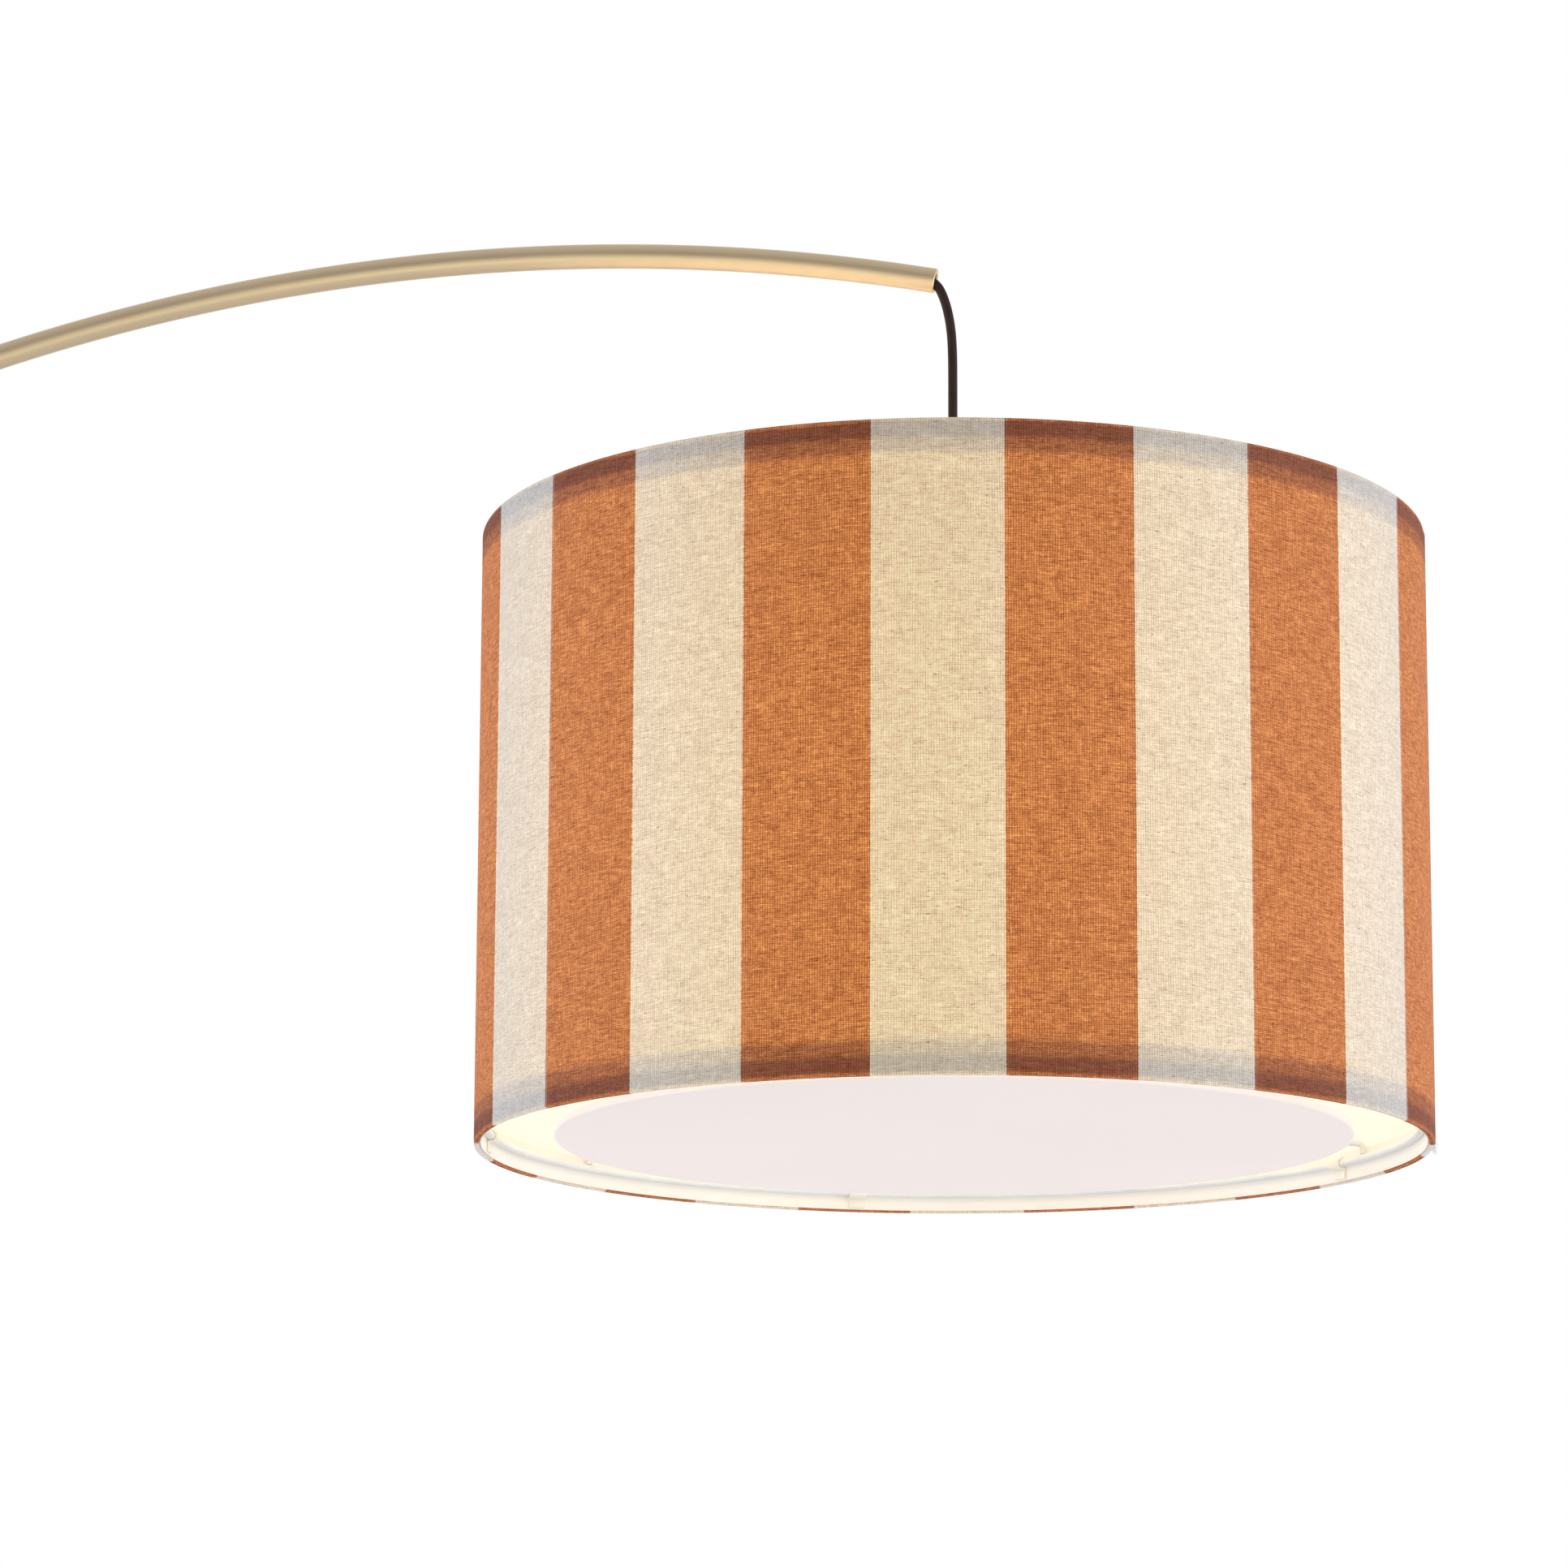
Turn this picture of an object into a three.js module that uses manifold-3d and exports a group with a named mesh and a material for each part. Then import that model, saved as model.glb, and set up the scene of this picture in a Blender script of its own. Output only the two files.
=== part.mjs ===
// Arc floor lamp: a heavy round base, a slim pole, a long arched arm, and a striped drum shade that hangs
// from the end of the arm on its own flex. Millimetres, +Z up. The origin is on the floor under the pole,
// and +X points from the pole towards the shade.
import * as THREE from "three";
import { mergeVertices } from "three/addons/utils/BufferGeometryUtils.js";
import Module from "manifold-3d";

// Driving dimensions
const LAMP_HEIGHT = 1900; // floor to the top of the arch
const ARC_RADIUS = 1020; // centreline of the arm
const TIP_ANGLE = 11.3; // how far past its highest point the arm runs, in degrees
const ARM_TUBE_DIAMETER = 12.7;
const ARM_TUBE_WALL = 1.2;
const ARM_SPIGOT_LENGTH = 60; // straight foot of the arm, inside the pole
const POLE_DIAMETER = 19;
const POLE_WALL = 1.3;
const BASE_DIAMETER = 340;
const BASE_HEIGHT = 31;
const CORD_DIAMETER = 4.8;
const SHADE_DIAMETER = 480;
const SHADE_HEIGHT = 312;
const SHADE_DROP = 141.7; // centre of the arm's mouth down to the shade's top edge
const CORD_RUNOUT = 8.7; // the flex hangs this far beyond the mouth, over the shade's axis
const DIFFUSER_DIAMETER = 401;
const DIFFUSER_LIFT = 4.7; // the diffuser's face above the shade's lower edge
const GAP = 0.3; // between pieces that touch
const WIRE_DIAMETER = 4; // rings and spokes of the shade frame
const CLIP_COUNT = 5;
const BRACKET_COUNT = 3;
const SPOKE_COUNT = 3;
const SPOKE_RADIUS = 1.7;
const FIRST_CLIP_ANGLE = 37;
const FIRST_BRACKET_ANGLE = 31;
const FIRST_SPOKE_ANGLE = 90;

// Roundness of the facets
const FINE = 72;
const MEDIUM = 24;
const COARSE = 16;
const TUBE_SIDES = 12;
const LEAD_SIDES = 6; // for leads inside the tubes
const FLEX_SIDES = 8; // for the flex that shows

// Places worked out from the driving dimensions
const DEGREE = Math.PI / 180;
const ARM_TUBE_RADIUS = ARM_TUBE_DIAMETER / 2;
const ARM_BORE_RADIUS = ARM_TUBE_RADIUS - ARM_TUBE_WALL;
const ARC_CENTRE_Z = LAMP_HEIGHT - ARM_TUBE_RADIUS - ARC_RADIUS;
const ARM_LENGTH = ARC_RADIUS * (90 + TIP_ANGLE) * DEGREE;
const TIP_X = ARC_RADIUS * (1 + Math.sin(TIP_ANGLE * DEGREE));
const TIP_Z = ARC_CENTRE_Z + ARC_RADIUS * Math.cos(TIP_ANGLE * DEGREE);
const SHADE_X = TIP_X + CORD_RUNOUT;
const SHADE_TOP_Z = TIP_Z - SHADE_DROP;
const SHADE_BOTTOM_Z = SHADE_TOP_Z - SHADE_HEIGHT;
const SHADE_RADIUS = SHADE_DIAMETER / 2;
const POLE_RADIUS = POLE_DIAMETER / 2;
const POLE_BORE_RADIUS = POLE_RADIUS - POLE_WALL;
const CORD_RADIUS = CORD_DIAMETER / 2;
const WIRE_RADIUS = WIRE_DIAMETER / 2;

// Finishes
const finish = (color, roughness, metalness) =>
  new THREE.MeshStandardMaterial({ color, roughness, metalness });
const champagne = finish(0xc8ad7c, 0.3, 1);
const castIron = finish(0x3b3b3c, 0.8, 0.6);
const steel = finish(0xb9babb, 0.4, 1);
const whiteSteel = finish(0xf2efe8, 0.5, 0.1);
const blackRubber = finish(0x1d1b1a, 0.8, 0);
const blackPlastic = finish(0x232120, 0.5, 0);
const brass = finish(0xb8934a, 0.35, 1);
const nylon = finish(0xe6e2d8, 0.6, 0);
const stripedFabric = finish(0xc98a5a, 0.9, 0);
const whiteLining = finish(0xf6efe0, 0.8, 0);
const opal = finish(0xede6e4, 0.4, 0);

// Geometry helpers

// Turned solid about Z from corner points [radius, height], counter-clockwise with radius to the right.
function turned(points, segments = MEDIUM) {
  const outline = points.map(([r, z]) => new THREE.Vector2(r, z));
  const onAxis = points[0][0] === 0 && points.at(-1)[0] === 0;
  if (!onAxis) outline.push(outline[0].clone());
  return new THREE.LatheGeometry(outline, segments).rotateX(Math.PI / 2);
}

// Upright ring with a rectangular section.
function sleeve(inner, outer, low, high, segments = MEDIUM) {
  return turned([[inner, low], [outer, low], [outer, high], [inner, high]], segments);
}

// Upright ring of round wire.
function wireRing(radius, wire, height, segments = FINE) {
  const sides = 6;
  const points = [];
  for (let i = 0; i < sides; i++) {
    const turn = ((i + 0.5) * 2 * Math.PI) / sides;
    points.push([radius + wire * Math.cos(turn), height + wire * Math.sin(turn)]);
  }
  return turned(points, segments);
}

// Round bar along Z between two heights.
function upright(radius, low, high, segments = COARSE) {
  return new THREE.CylinderGeometry(radius, radius, high - low, segments)
    .rotateX(Math.PI / 2)
    .translate(0, 0, (low + high) / 2);
}

// Round bar along X between two places.
function crossbar(radius, from, to, segments = COARSE) {
  return new THREE.CylinderGeometry(radius, radius, to - from, segments)
    .rotateZ(Math.PI / 2)
    .translate((from + to) / 2, 0, 0);
}

// Round section swept along a curve, hollow when a bore is given.
function swept(curve, radius, bore, sides, steps) {
  const section = new THREE.Shape();
  section.absarc(0, 0, radius, 0, 2 * Math.PI, false);
  if (bore) {
    const hole = new THREE.Path();
    hole.absarc(0, 0, bore, 0, 2 * Math.PI, true);
    section.holes.push(hole);
  }
  return new THREE.ExtrudeGeometry(section, {
    steps,
    curveSegments: sides / 2,
    extrudePath: curve,
  });
}

const wasm = await Module();
wasm.setup();

function toSolid(geometry) {
  const bare = geometry.clone();
  bare.deleteAttribute("normal");
  bare.deleteAttribute("uv");
  const merged = mergeVertices(bare, 1e-4);
  return new wasm.Manifold(
    new wasm.Mesh({
      numProp: 3,
      vertProperties: new Float32Array(merged.attributes.position.array),
      triVerts: new Uint32Array(merged.index.array),
    }),
  );
}

function fromSolid(solid) {
  const mesh = solid.getMesh();
  const geometry = new THREE.BufferGeometry();
  const positions = new Float32Array(mesh.vertProperties);
  geometry.setAttribute("position", new THREE.BufferAttribute(positions, 3));
  geometry.setIndex(new THREE.BufferAttribute(new Uint32Array(mesh.triVerts), 1));
  geometry.computeVertexNormals();
  return geometry;
}

function cut(body, ...tools) {
  return fromSolid(tools.reduce((left, tool) => left.subtract(toSolid(tool)), toSolid(body)));
}

function join(body, ...others) {
  return fromSolid(others.reduce((sum, other) => sum.add(toSolid(other)), toSolid(body)));
}

function piece(name, geometry, material) {
  const mesh = new THREE.Mesh(geometry, material);
  mesh.name = name;
  return mesh;
}

function assembly(x, z, ...pieces) {
  const group = new THREE.Group();
  group.position.set(x, 0, z);
  group.add(...pieces);
  return group;
}

// Puts a piece modelled along +X at a turn about Z.
function turnedTo(angle, mesh) {
  mesh.rotation.z = angle * DEGREE;
  return mesh;
}

// The arm's centreline by distance from the foot of the arch: straight below zero, then one long arc.
function armPoint(distance) {
  if (distance < 0) return new THREE.Vector3(0, 0, ARC_CENTRE_Z + distance);
  const turn = distance / ARC_RADIUS;
  const x = ARC_RADIUS * (1 - Math.cos(turn));
  return new THREE.Vector3(x, 0, ARC_CENTRE_Z + ARC_RADIUS * Math.sin(turn));
}

class ArmStretch extends THREE.Curve {
  constructor(from, to) {
    super();
    this.from = from;
    this.to = to;
  }

  getPoint(t) {
    return armPoint(this.from + (this.to - this.from) * t);
  }
}

// Base
const PAD_THICKNESS = 3;
const COVER_WALL = 1.2;
const COVER_CLEARANCE = 4; // the cover's skirt stops this far above the floor
const WEIGHT_RADIUS = BASE_DIAMETER / 2 - 5;
const WEIGHT_TOP = BASE_HEIGHT - COVER_WALL - GAP;
const RECESS_RADIUS = 30;
const RECESS_CEILING = 20.6;
const SPIGOT_RADIUS = POLE_BORE_RADIUS - GAP;
const SPIGOT_BORE_RADIUS = 6.3;
const SPIGOT_FOOT = 11.5;
const SPIGOT_TOP = 95;
const LEAD_HEIGHT = 6.5; // where the lead lies in the base
const GLAND_HEIGHT = 10.5;
const GLAND_RADIUS = 5;

function basePad() {
  return piece("base_pad", upright(WEIGHT_RADIUS - 2, 0, PAD_THICKNESS, FINE), blackRubber);
}

function baseWeight() {
  const low = PAD_THICKNESS + GAP;
  const edge = 3;
  const slab = turned(
    [
      [0, low],
      [WEIGHT_RADIUS, low],
      [WEIGHT_RADIUS, WEIGHT_TOP - edge],
      [WEIGHT_RADIUS - edge, WEIGHT_TOP],
      [0, WEIGHT_TOP],
    ],
    FINE,
  );
  const recess = upright(RECESS_RADIUS, low - 1, RECESS_CEILING, MEDIUM);
  const bore = upright(SPIGOT_RADIUS + GAP, low, WEIGHT_TOP + 1);
  const channelWidth = 9;
  const channelTop = 15.3;
  const channel = new THREE.BoxGeometry(WEIGHT_RADIUS + 1, channelWidth, channelTop - low + 1);
  channel.translate(-(WEIGHT_RADIUS + 1) / 2, 0, (channelTop + low - 1) / 2);
  return piece("base_weight", cut(slab, recess, bore, channel), castIron);
}

function baseCover() {
  const outer = BASE_DIAMETER / 2;
  const round = 6;
  const shoulder = [];
  const hollow = [];
  const bends = 3;
  for (let i = 0; i <= bends; i++) {
    const turn = (i * 90 * DEGREE) / bends;
    const centre = [outer - round, BASE_HEIGHT - round];
    const inside = round - COVER_WALL;
    shoulder.push([centre[0] + round * Math.cos(turn), centre[1] + round * Math.sin(turn)]);
    hollow.unshift([centre[0] + inside * Math.cos(turn), centre[1] + inside * Math.sin(turn)]);
  }
  const bore = SPIGOT_RADIUS + GAP;
  const shell = turned(
    [
      [outer - COVER_WALL, COVER_CLEARANCE],
      [outer, COVER_CLEARANCE],
      ...shoulder,
      [bore, BASE_HEIGHT],
      [bore, BASE_HEIGHT - COVER_WALL],
      ...hollow,
    ],
    FINE,
  );
  const hole = crossbar(GLAND_RADIUS + GAP, -outer - 5, -outer + 10);
  return piece("base_cover", cut(shell, hole.translate(0, 0, GLAND_HEIGHT)), champagne);
}

function poleSpigot() {
  const tube = sleeve(SPIGOT_BORE_RADIUS, SPIGOT_RADIUS, SPIGOT_FOOT, SPIGOT_TOP, COARSE);
  return piece("pole_spigot", tube, steel);
}

function baseWasher() {
  const thickness = 2;
  const top = RECESS_CEILING - GAP;
  const ring = sleeve(SPIGOT_RADIUS + GAP, 22, top - thickness, top, COARSE);
  return piece("base_washer", ring, steel);
}

function baseNut() {
  const acrossCorners = 31;
  const low = 12;
  const high = 18;
  const hexagon = upright(acrossCorners / 2, low, high, 6);
  return piece("base_nut", cut(hexagon, upright(SPIGOT_RADIUS + GAP, low - 1, high + 1)), steel);
}

function poleFoot() {
  const low = BASE_HEIGHT + GAP;
  const bore = POLE_RADIUS + GAP;
  const cup = turned([
    [SPIGOT_RADIUS + GAP, low],
    [21, low],
    [21, low + 3],
    [18, low + 5],
    [13.5, low + 9],
    [12, low + 16],
    [11.4, low + 18],
    [bore, low + 18],
    [bore, low + 3],
    [SPIGOT_RADIUS + GAP, low + 3],
  ]);
  return piece("pole_foot", cup, champagne);
}

function cordGland() {
  const wall = BASE_DIAMETER / 2;
  const flange = 7;
  const body = crossbar(GLAND_RADIUS, -wall - 1, -wall + 4);
  const rim = crossbar(flange, -wall - GAP - 2.2, -wall - GAP);
  const bore = crossbar(CORD_RADIUS + 2 * GAP, -wall - 5, -wall + 6);
  const bush = cut(join(body, rim), bore);
  return piece("cord_gland", bush.translate(0, 0, GLAND_HEIGHT), blackPlastic);
}

function base() {
  return [
    basePad(),
    baseWeight(),
    baseCover(),
    poleSpigot(),
    baseWasher(),
    baseNut(),
    poleFoot(),
    cordGland(),
  ];
}

// Pole
const POLE_LOW = BASE_HEIGHT + 2 * GAP + 3;
const POLE_TOP = ARC_CENTRE_Z - 12;
const COUPLER_RING = 8; // height of the ring that shows between the pole's two lengths
const COUPLER_LOW = (POLE_LOW + POLE_TOP) / 2 - COUPLER_RING / 2;
const COUPLER_HIGH = COUPLER_LOW + COUPLER_RING;
const SWIVEL_CLEARANCE = 0.3;
const BUSH_LIP = 3; // the arm's foot stands on this lip

function poleLengths() {
  const lower = sleeve(POLE_BORE_RADIUS, POLE_RADIUS, POLE_LOW, COUPLER_LOW - GAP, COARSE);
  const upper = sleeve(POLE_BORE_RADIUS, POLE_RADIUS, COUPLER_HIGH + GAP, POLE_TOP, COARSE);
  return [piece("pole_lower", lower, champagne), piece("pole_upper", upper, champagne)];
}

function poleCoupler() {
  const ring = POLE_RADIUS + 1;
  const plug = POLE_BORE_RADIUS - GAP;
  const reach = 24;
  const body = turned(
    [
      [SPIGOT_BORE_RADIUS, COUPLER_LOW - reach],
      [plug, COUPLER_LOW - reach],
      [plug, COUPLER_LOW],
      [ring - 0.6, COUPLER_LOW],
      [ring, COUPLER_LOW + 0.6],
      [ring, COUPLER_HIGH - 0.6],
      [ring - 0.6, COUPLER_HIGH],
      [plug, COUPLER_HIGH],
      [plug, COUPLER_HIGH + reach],
      [SPIGOT_BORE_RADIUS, COUPLER_HIGH + reach],
    ],
    COARSE,
  );
  return piece("pole_coupler", body, champagne);
}

function swivelBush() {
  const bore = ARM_TUBE_RADIUS + SWIVEL_CLEARANCE;
  const outer = POLE_BORE_RADIUS - GAP;
  const lipTop = ARC_CENTRE_Z - ARM_SPIGOT_LENGTH - GAP;
  const leadHole = 4;
  const cup = turned(
    [
      [leadHole, lipTop - BUSH_LIP],
      [outer, lipTop - BUSH_LIP],
      [outer, POLE_TOP],
      [bore, POLE_TOP],
      [bore, lipTop],
      [leadHole, lipTop],
    ],
    COARSE,
  );
  return piece("swivel_bush", cup, nylon);
}

const COLLAR_RADIUS = 12.5;
const COLLAR_TOP = POLE_TOP + 14;
const SCREW_RADIUS = 2;
const SCREW_HEIGHT = POLE_TOP + 7;

function swivelCollar() {
  const bore = ARM_TUBE_RADIUS + SWIVEL_CLEARANCE;
  const skirt = POLE_RADIUS + GAP;
  const body = turned([
    [skirt, POLE_TOP - 14],
    [COLLAR_RADIUS - 1, POLE_TOP - 14],
    [COLLAR_RADIUS, POLE_TOP - 13],
    [COLLAR_RADIUS, COLLAR_TOP - 3],
    [COLLAR_RADIUS - 3, COLLAR_TOP],
    [bore, COLLAR_TOP],
    [bore, POLE_TOP + GAP],
    [skirt, POLE_TOP + GAP],
  ]);
  const hole = crossbar(SCREW_RADIUS + GAP, -COLLAR_RADIUS - 2, 0, 12);
  return piece("swivel_collar", cut(body, hole.translate(0, 0, SCREW_HEIGHT)), champagne);
}

function collarScrew() {
  const tip = -ARM_TUBE_RADIUS - SWIVEL_CLEARANCE;
  const shank = crossbar(SCREW_RADIUS, -COLLAR_RADIUS + 0.4, tip, 12);
  const socket = crossbar(1, -COLLAR_RADIUS, -COLLAR_RADIUS + 2.2, 6);
  return piece("collar_screw", cut(shank, socket).translate(0, 0, SCREW_HEIGHT), steel);
}

// The lead runs from the gland along the base's channel, turns up into the spigot and climbs the pole.
const LEAD_BEND = 12;
const LEAD_SPLIT = LEAD_HEIGHT + LEAD_BEND + 4;

function baseLead() {
  const bendSteps = 6;
  const start = -BASE_DIAMETER / 2 + 4 + GAP;
  const points = [
    new THREE.Vector3(start, 0, GLAND_HEIGHT),
    new THREE.Vector3(start + 14, 0, GLAND_HEIGHT - 0.6),
    new THREE.Vector3(-70, 0, LEAD_HEIGHT + 0.8),
    new THREE.Vector3(-30, 0, LEAD_HEIGHT),
  ];
  for (let i = 0; i <= bendSteps; i++) {
    const turn = (i * 90 * DEGREE) / bendSteps;
    const x = LEAD_BEND * (Math.sin(turn) - 1);
    points.push(new THREE.Vector3(x, 0, LEAD_HEIGHT + LEAD_BEND * (1 - Math.cos(turn))));
  }
  points.push(new THREE.Vector3(0, 0, LEAD_SPLIT));
  const route = new THREE.CatmullRomCurve3(points, false, "centripetal");
  return piece("base_lead", swept(route, CORD_RADIUS, 0, LEAD_SIDES, 44), blackRubber);
}

function poleLead() {
  const top = ARC_CENTRE_Z - ARM_SPIGOT_LENGTH - GAP;
  const lead = upright(CORD_RADIUS, LEAD_SPLIT + GAP, top, LEAD_SIDES);
  return piece("pole_lead", lead, blackRubber);
}

function pole() {
  return [
    ...poleLengths(),
    poleCoupler(),
    swivelBush(),
    swivelCollar(),
    collarScrew(),
    baseLead(),
    poleLead(),
  ];
}

// Arm
const ARM_JOINTS = [580, 1200]; // where its three lengths of tube meet, along the arm
const ARM_STEP = 55; // longest facet along the arm
const FERRULE_REACH = 35;
const MOUTH_DEPTH = 14; // the bush sits this far inside the arm's mouth

function armSteps(from, to) {
  return Math.ceil((to - from) / ARM_STEP);
}

function armTube(name, from, to) {
  const curve = new ArmStretch(from, to);
  const steps = armSteps(from, to);
  return piece(name, swept(curve, ARM_TUBE_RADIUS, ARM_BORE_RADIUS, TUBE_SIDES, steps), champagne);
}

function armFerrule(name, middle) {
  const curve = new ArmStretch(middle - FERRULE_REACH, middle + FERRULE_REACH);
  const outer = ARM_BORE_RADIUS - GAP - 0.1;
  return piece(name, swept(curve, outer, outer - 0.9, TUBE_SIDES, 3), steel);
}

function armCollar(name, from, to, material) {
  const curve = new ArmStretch(from, to);
  const outer = ARM_BORE_RADIUS - GAP - 0.1;
  return piece(name, swept(curve, outer, CORD_RADIUS + 3 * GAP, TUBE_SIDES, 1), material);
}

function arm() {
  const [first, second] = ARM_JOINTS;
  const bushFront = ARM_LENGTH - MOUTH_DEPTH;
  const lead = new ArmStretch(-ARM_SPIGOT_LENGTH, bushFront);
  return [
    armTube("arm_tube_lower", -ARM_SPIGOT_LENGTH, first - GAP),
    armTube("arm_tube_middle", first, second - GAP),
    armTube("arm_tube_upper", second, ARM_LENGTH),
    armFerrule("arm_ferrule_lower", first),
    armFerrule("arm_ferrule_upper", second),
    armCollar("cord_stop", bushFront - 30, bushFront - 20, steel),
    armCollar("mouth_bush", bushFront - 16, bushFront, blackRubber),
    piece("arm_lead", swept(lead, CORD_RADIUS, 0, LEAD_SIDES, 32), blackRubber),
  ];
}

// Hanging flex: it leaves the bush inside the mouth, leans over the lower lip and falls to the lampholder.
// Places are [across, up] from the centre of the mouth.
const GRIP_TOP = 26; // top of the cord grip above the shade's top edge
const CORD_IN_GRIP = 11;
const CORD_ROUTE = [
  [-13.4, 2.6],
  [-10.4, 2.05],
  [-7.6, 1.5],
  [-5, 0.9],
  [-2.6, 0],
  [-0.4, -1.6],
  [1.5, -3.8],
  [2.95, -6.6],
  [4.2, -9.8],
  [5.3, -13.3],
  [6.2, -17],
  [7, -21],
  [7.65, -25.5],
  [8.15, -30.5],
  [8.5, -37],
  [8.67, -45],
  [8.7, -55],
  [8.7, -67],
  [8.7, -80],
  [8.7, -93],
  [8.7, -105],
];

function pendantCord() {
  const points = CORD_ROUTE.map(([x, z]) => new THREE.Vector3(TIP_X + x, 0, TIP_Z + z));
  points.push(new THREE.Vector3(SHADE_X, 0, SHADE_TOP_Z + GRIP_TOP - CORD_IN_GRIP));
  const route = new THREE.CatmullRomCurve3(points, false, "centripetal");
  return piece("pendant_cord", swept(route, CORD_RADIUS, 0, FLEX_SIDES, 36), blackRubber);
}

// Lampholder and bulb. Heights are from the shade's top edge.
const HUB_TOP = -22;
const HUB_THICKNESS = 2;
const SHOULDER_RADIUS = 23;
const SKIRT_RADIUS = 19.3;
const SKIRT_LOW = -64;
const SKIRT_BORE = 16.6;
const CAP_LOW = HUB_TOP + GAP + 3 + GAP;
const CAP_TOP = 9.6;

function cordGrip() {
  const bore = CORD_RADIUS + GAP;
  const low = CAP_TOP + GAP;
  const grip = turned(
    [
      [0, low],
      [7.5, low],
      [7.5, low + 3],
      [6.4, low + 4.5],
      [4.6, GRIP_TOP - 1],
      [4.1, GRIP_TOP],
      [bore, GRIP_TOP],
      [bore, GRIP_TOP - CORD_IN_GRIP - GAP],
      [0, GRIP_TOP - CORD_IN_GRIP - GAP],
    ],
    COARSE,
  );
  return piece("cord_grip", grip, blackPlastic);
}

function holderCap() {
  const wall = 2;
  const leadHole = 3.5;
  const dome = turned([
    [20 - wall, CAP_LOW],
    [22, CAP_LOW],
    [22, CAP_LOW + 14],
    [20.5, CAP_TOP - 7],
    [16, CAP_TOP - 2],
    [11, CAP_TOP],
    [leadHole, CAP_TOP],
    [leadHole, CAP_TOP - wall],
    [11, CAP_TOP - wall],
    [15, CAP_TOP - 4],
    [18.5, CAP_TOP - 8],
    [20 - wall, CAP_LOW + 14],
  ]);
  return piece("holder_cap", dome, blackPlastic);
}

function holderBody() {
  const shoulderLow = HUB_TOP + GAP;
  const web = -33;
  const wireHole = 3;
  const body = turned([
    [SKIRT_BORE, SKIRT_LOW],
    [SKIRT_RADIUS, SKIRT_LOW],
    [SKIRT_RADIUS, shoulderLow],
    [SHOULDER_RADIUS, shoulderLow],
    [SHOULDER_RADIUS, shoulderLow + 3],
    [SKIRT_BORE, shoulderLow + 3],
    [SKIRT_BORE, web + 4],
    [wireHole, web + 4],
    [wireHole, web],
    [SKIRT_BORE, web],
  ]);
  return piece("holder_body", body, blackPlastic);
}

function holderContacts() {
  const top = -33 - GAP;
  const shell = turned([
    [4, top],
    [4, top - 1],
    [14.2, top - 1],
    [14.2, top - 24],
    [15.2, top - 24],
    [15.2, top],
  ]);
  const tongue = new THREE.BoxGeometry(14, 3.6, 0.8);
  tongue.translate(0, 0, top - 1 - GAP - 0.4);
  return [piece("screw_shell", shell, brass), piece("centre_contact", tongue, brass)];
}

function holderRing() {
  const high = HUB_TOP - HUB_THICKNESS - GAP;
  const ring = sleeve(SKIRT_RADIUS + GAP, 27, high - 8, high);
  return piece("holder_ring", ring, blackPlastic);
}

const BULB_CAP_TOP = -36;
const BULB_NECK = -60;
const BULB_RADIUS = 30;
const BULB_CENTRE = -110;

function bulbCap() {
  const cap = turned(
    [
      [0, BULB_NECK],
      [13.1, BULB_NECK],
      [13.1, BULB_CAP_TOP - 4],
      [4.5, BULB_CAP_TOP],
      [0, BULB_CAP_TOP],
    ],
    COARSE,
  );
  return piece("bulb_cap", cap, steel);
}

function bulbGlobe() {
  const top = BULB_NECK - GAP;
  const outline = [[0, BULB_CENTRE - BULB_RADIUS]];
  const stops = 9;
  const last = 140;
  for (let i = 1; i <= stops; i++) {
    const turn = (i * last * DEGREE) / stops;
    outline.push([BULB_RADIUS * Math.sin(turn), BULB_CENTRE - BULB_RADIUS * Math.cos(turn)]);
  }
  outline.push([15.5, -78], [14, top], [0, top]);
  return piece("bulb_globe", turned(outline, COARSE), opal);
}

function lampholder() {
  return assembly(
    SHADE_X,
    SHADE_TOP_Z,
    cordGrip(),
    holderCap(),
    holderBody(),
    ...holderContacts(),
    holderRing(),
    bulbCap(),
    bulbGlobe(),
  );
}

// Shade. Heights are from its lower edge.
const FABRIC_WALL = 0.8;
const LINER_WALL = 0.6;
const TAPE_WALL = 0.5;
const HEM_HEIGHT = 14;
const LINER_OUTER = SHADE_RADIUS - FABRIC_WALL - GAP;
const FLAP_OUTER = LINER_OUTER - LINER_WALL - GAP;
const TAPE_OUTER = FLAP_OUTER - FABRIC_WALL - GAP;
const RING_RADIUS = TAPE_OUTER - TAPE_WALL - GAP - WIRE_RADIUS;
const LOWER_RING_HEIGHT = 10;
const TOP_RING_HEIGHT = SHADE_HEIGHT - 10;

// The striped cloth, turned in over the liner at both edges.
function shadeFabric() {
  const inner = SHADE_RADIUS - FABRIC_WALL;
  const flapInner = FLAP_OUTER - FABRIC_WALL;
  const wall = turned(
    [
      [flapInner, 0],
      [SHADE_RADIUS, 0],
      [SHADE_RADIUS, SHADE_HEIGHT],
      [flapInner, SHADE_HEIGHT],
      [flapInner, SHADE_HEIGHT - HEM_HEIGHT],
      [FLAP_OUTER, SHADE_HEIGHT - HEM_HEIGHT],
      [FLAP_OUTER, SHADE_HEIGHT - FABRIC_WALL],
      [inner, SHADE_HEIGHT - FABRIC_WALL],
      [inner, FABRIC_WALL],
      [FLAP_OUTER, FABRIC_WALL],
      [FLAP_OUTER, HEM_HEIGHT],
      [flapInner, HEM_HEIGHT],
    ],
    FINE,
  );
  return piece("shade_fabric", wall, stripedFabric);
}

function shadeLiner() {
  const low = FABRIC_WALL + GAP;
  const wall = sleeve(LINER_OUTER - LINER_WALL, LINER_OUTER, low, SHADE_HEIGHT - low, FINE);
  return piece("shade_liner", wall, whiteLining);
}

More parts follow.
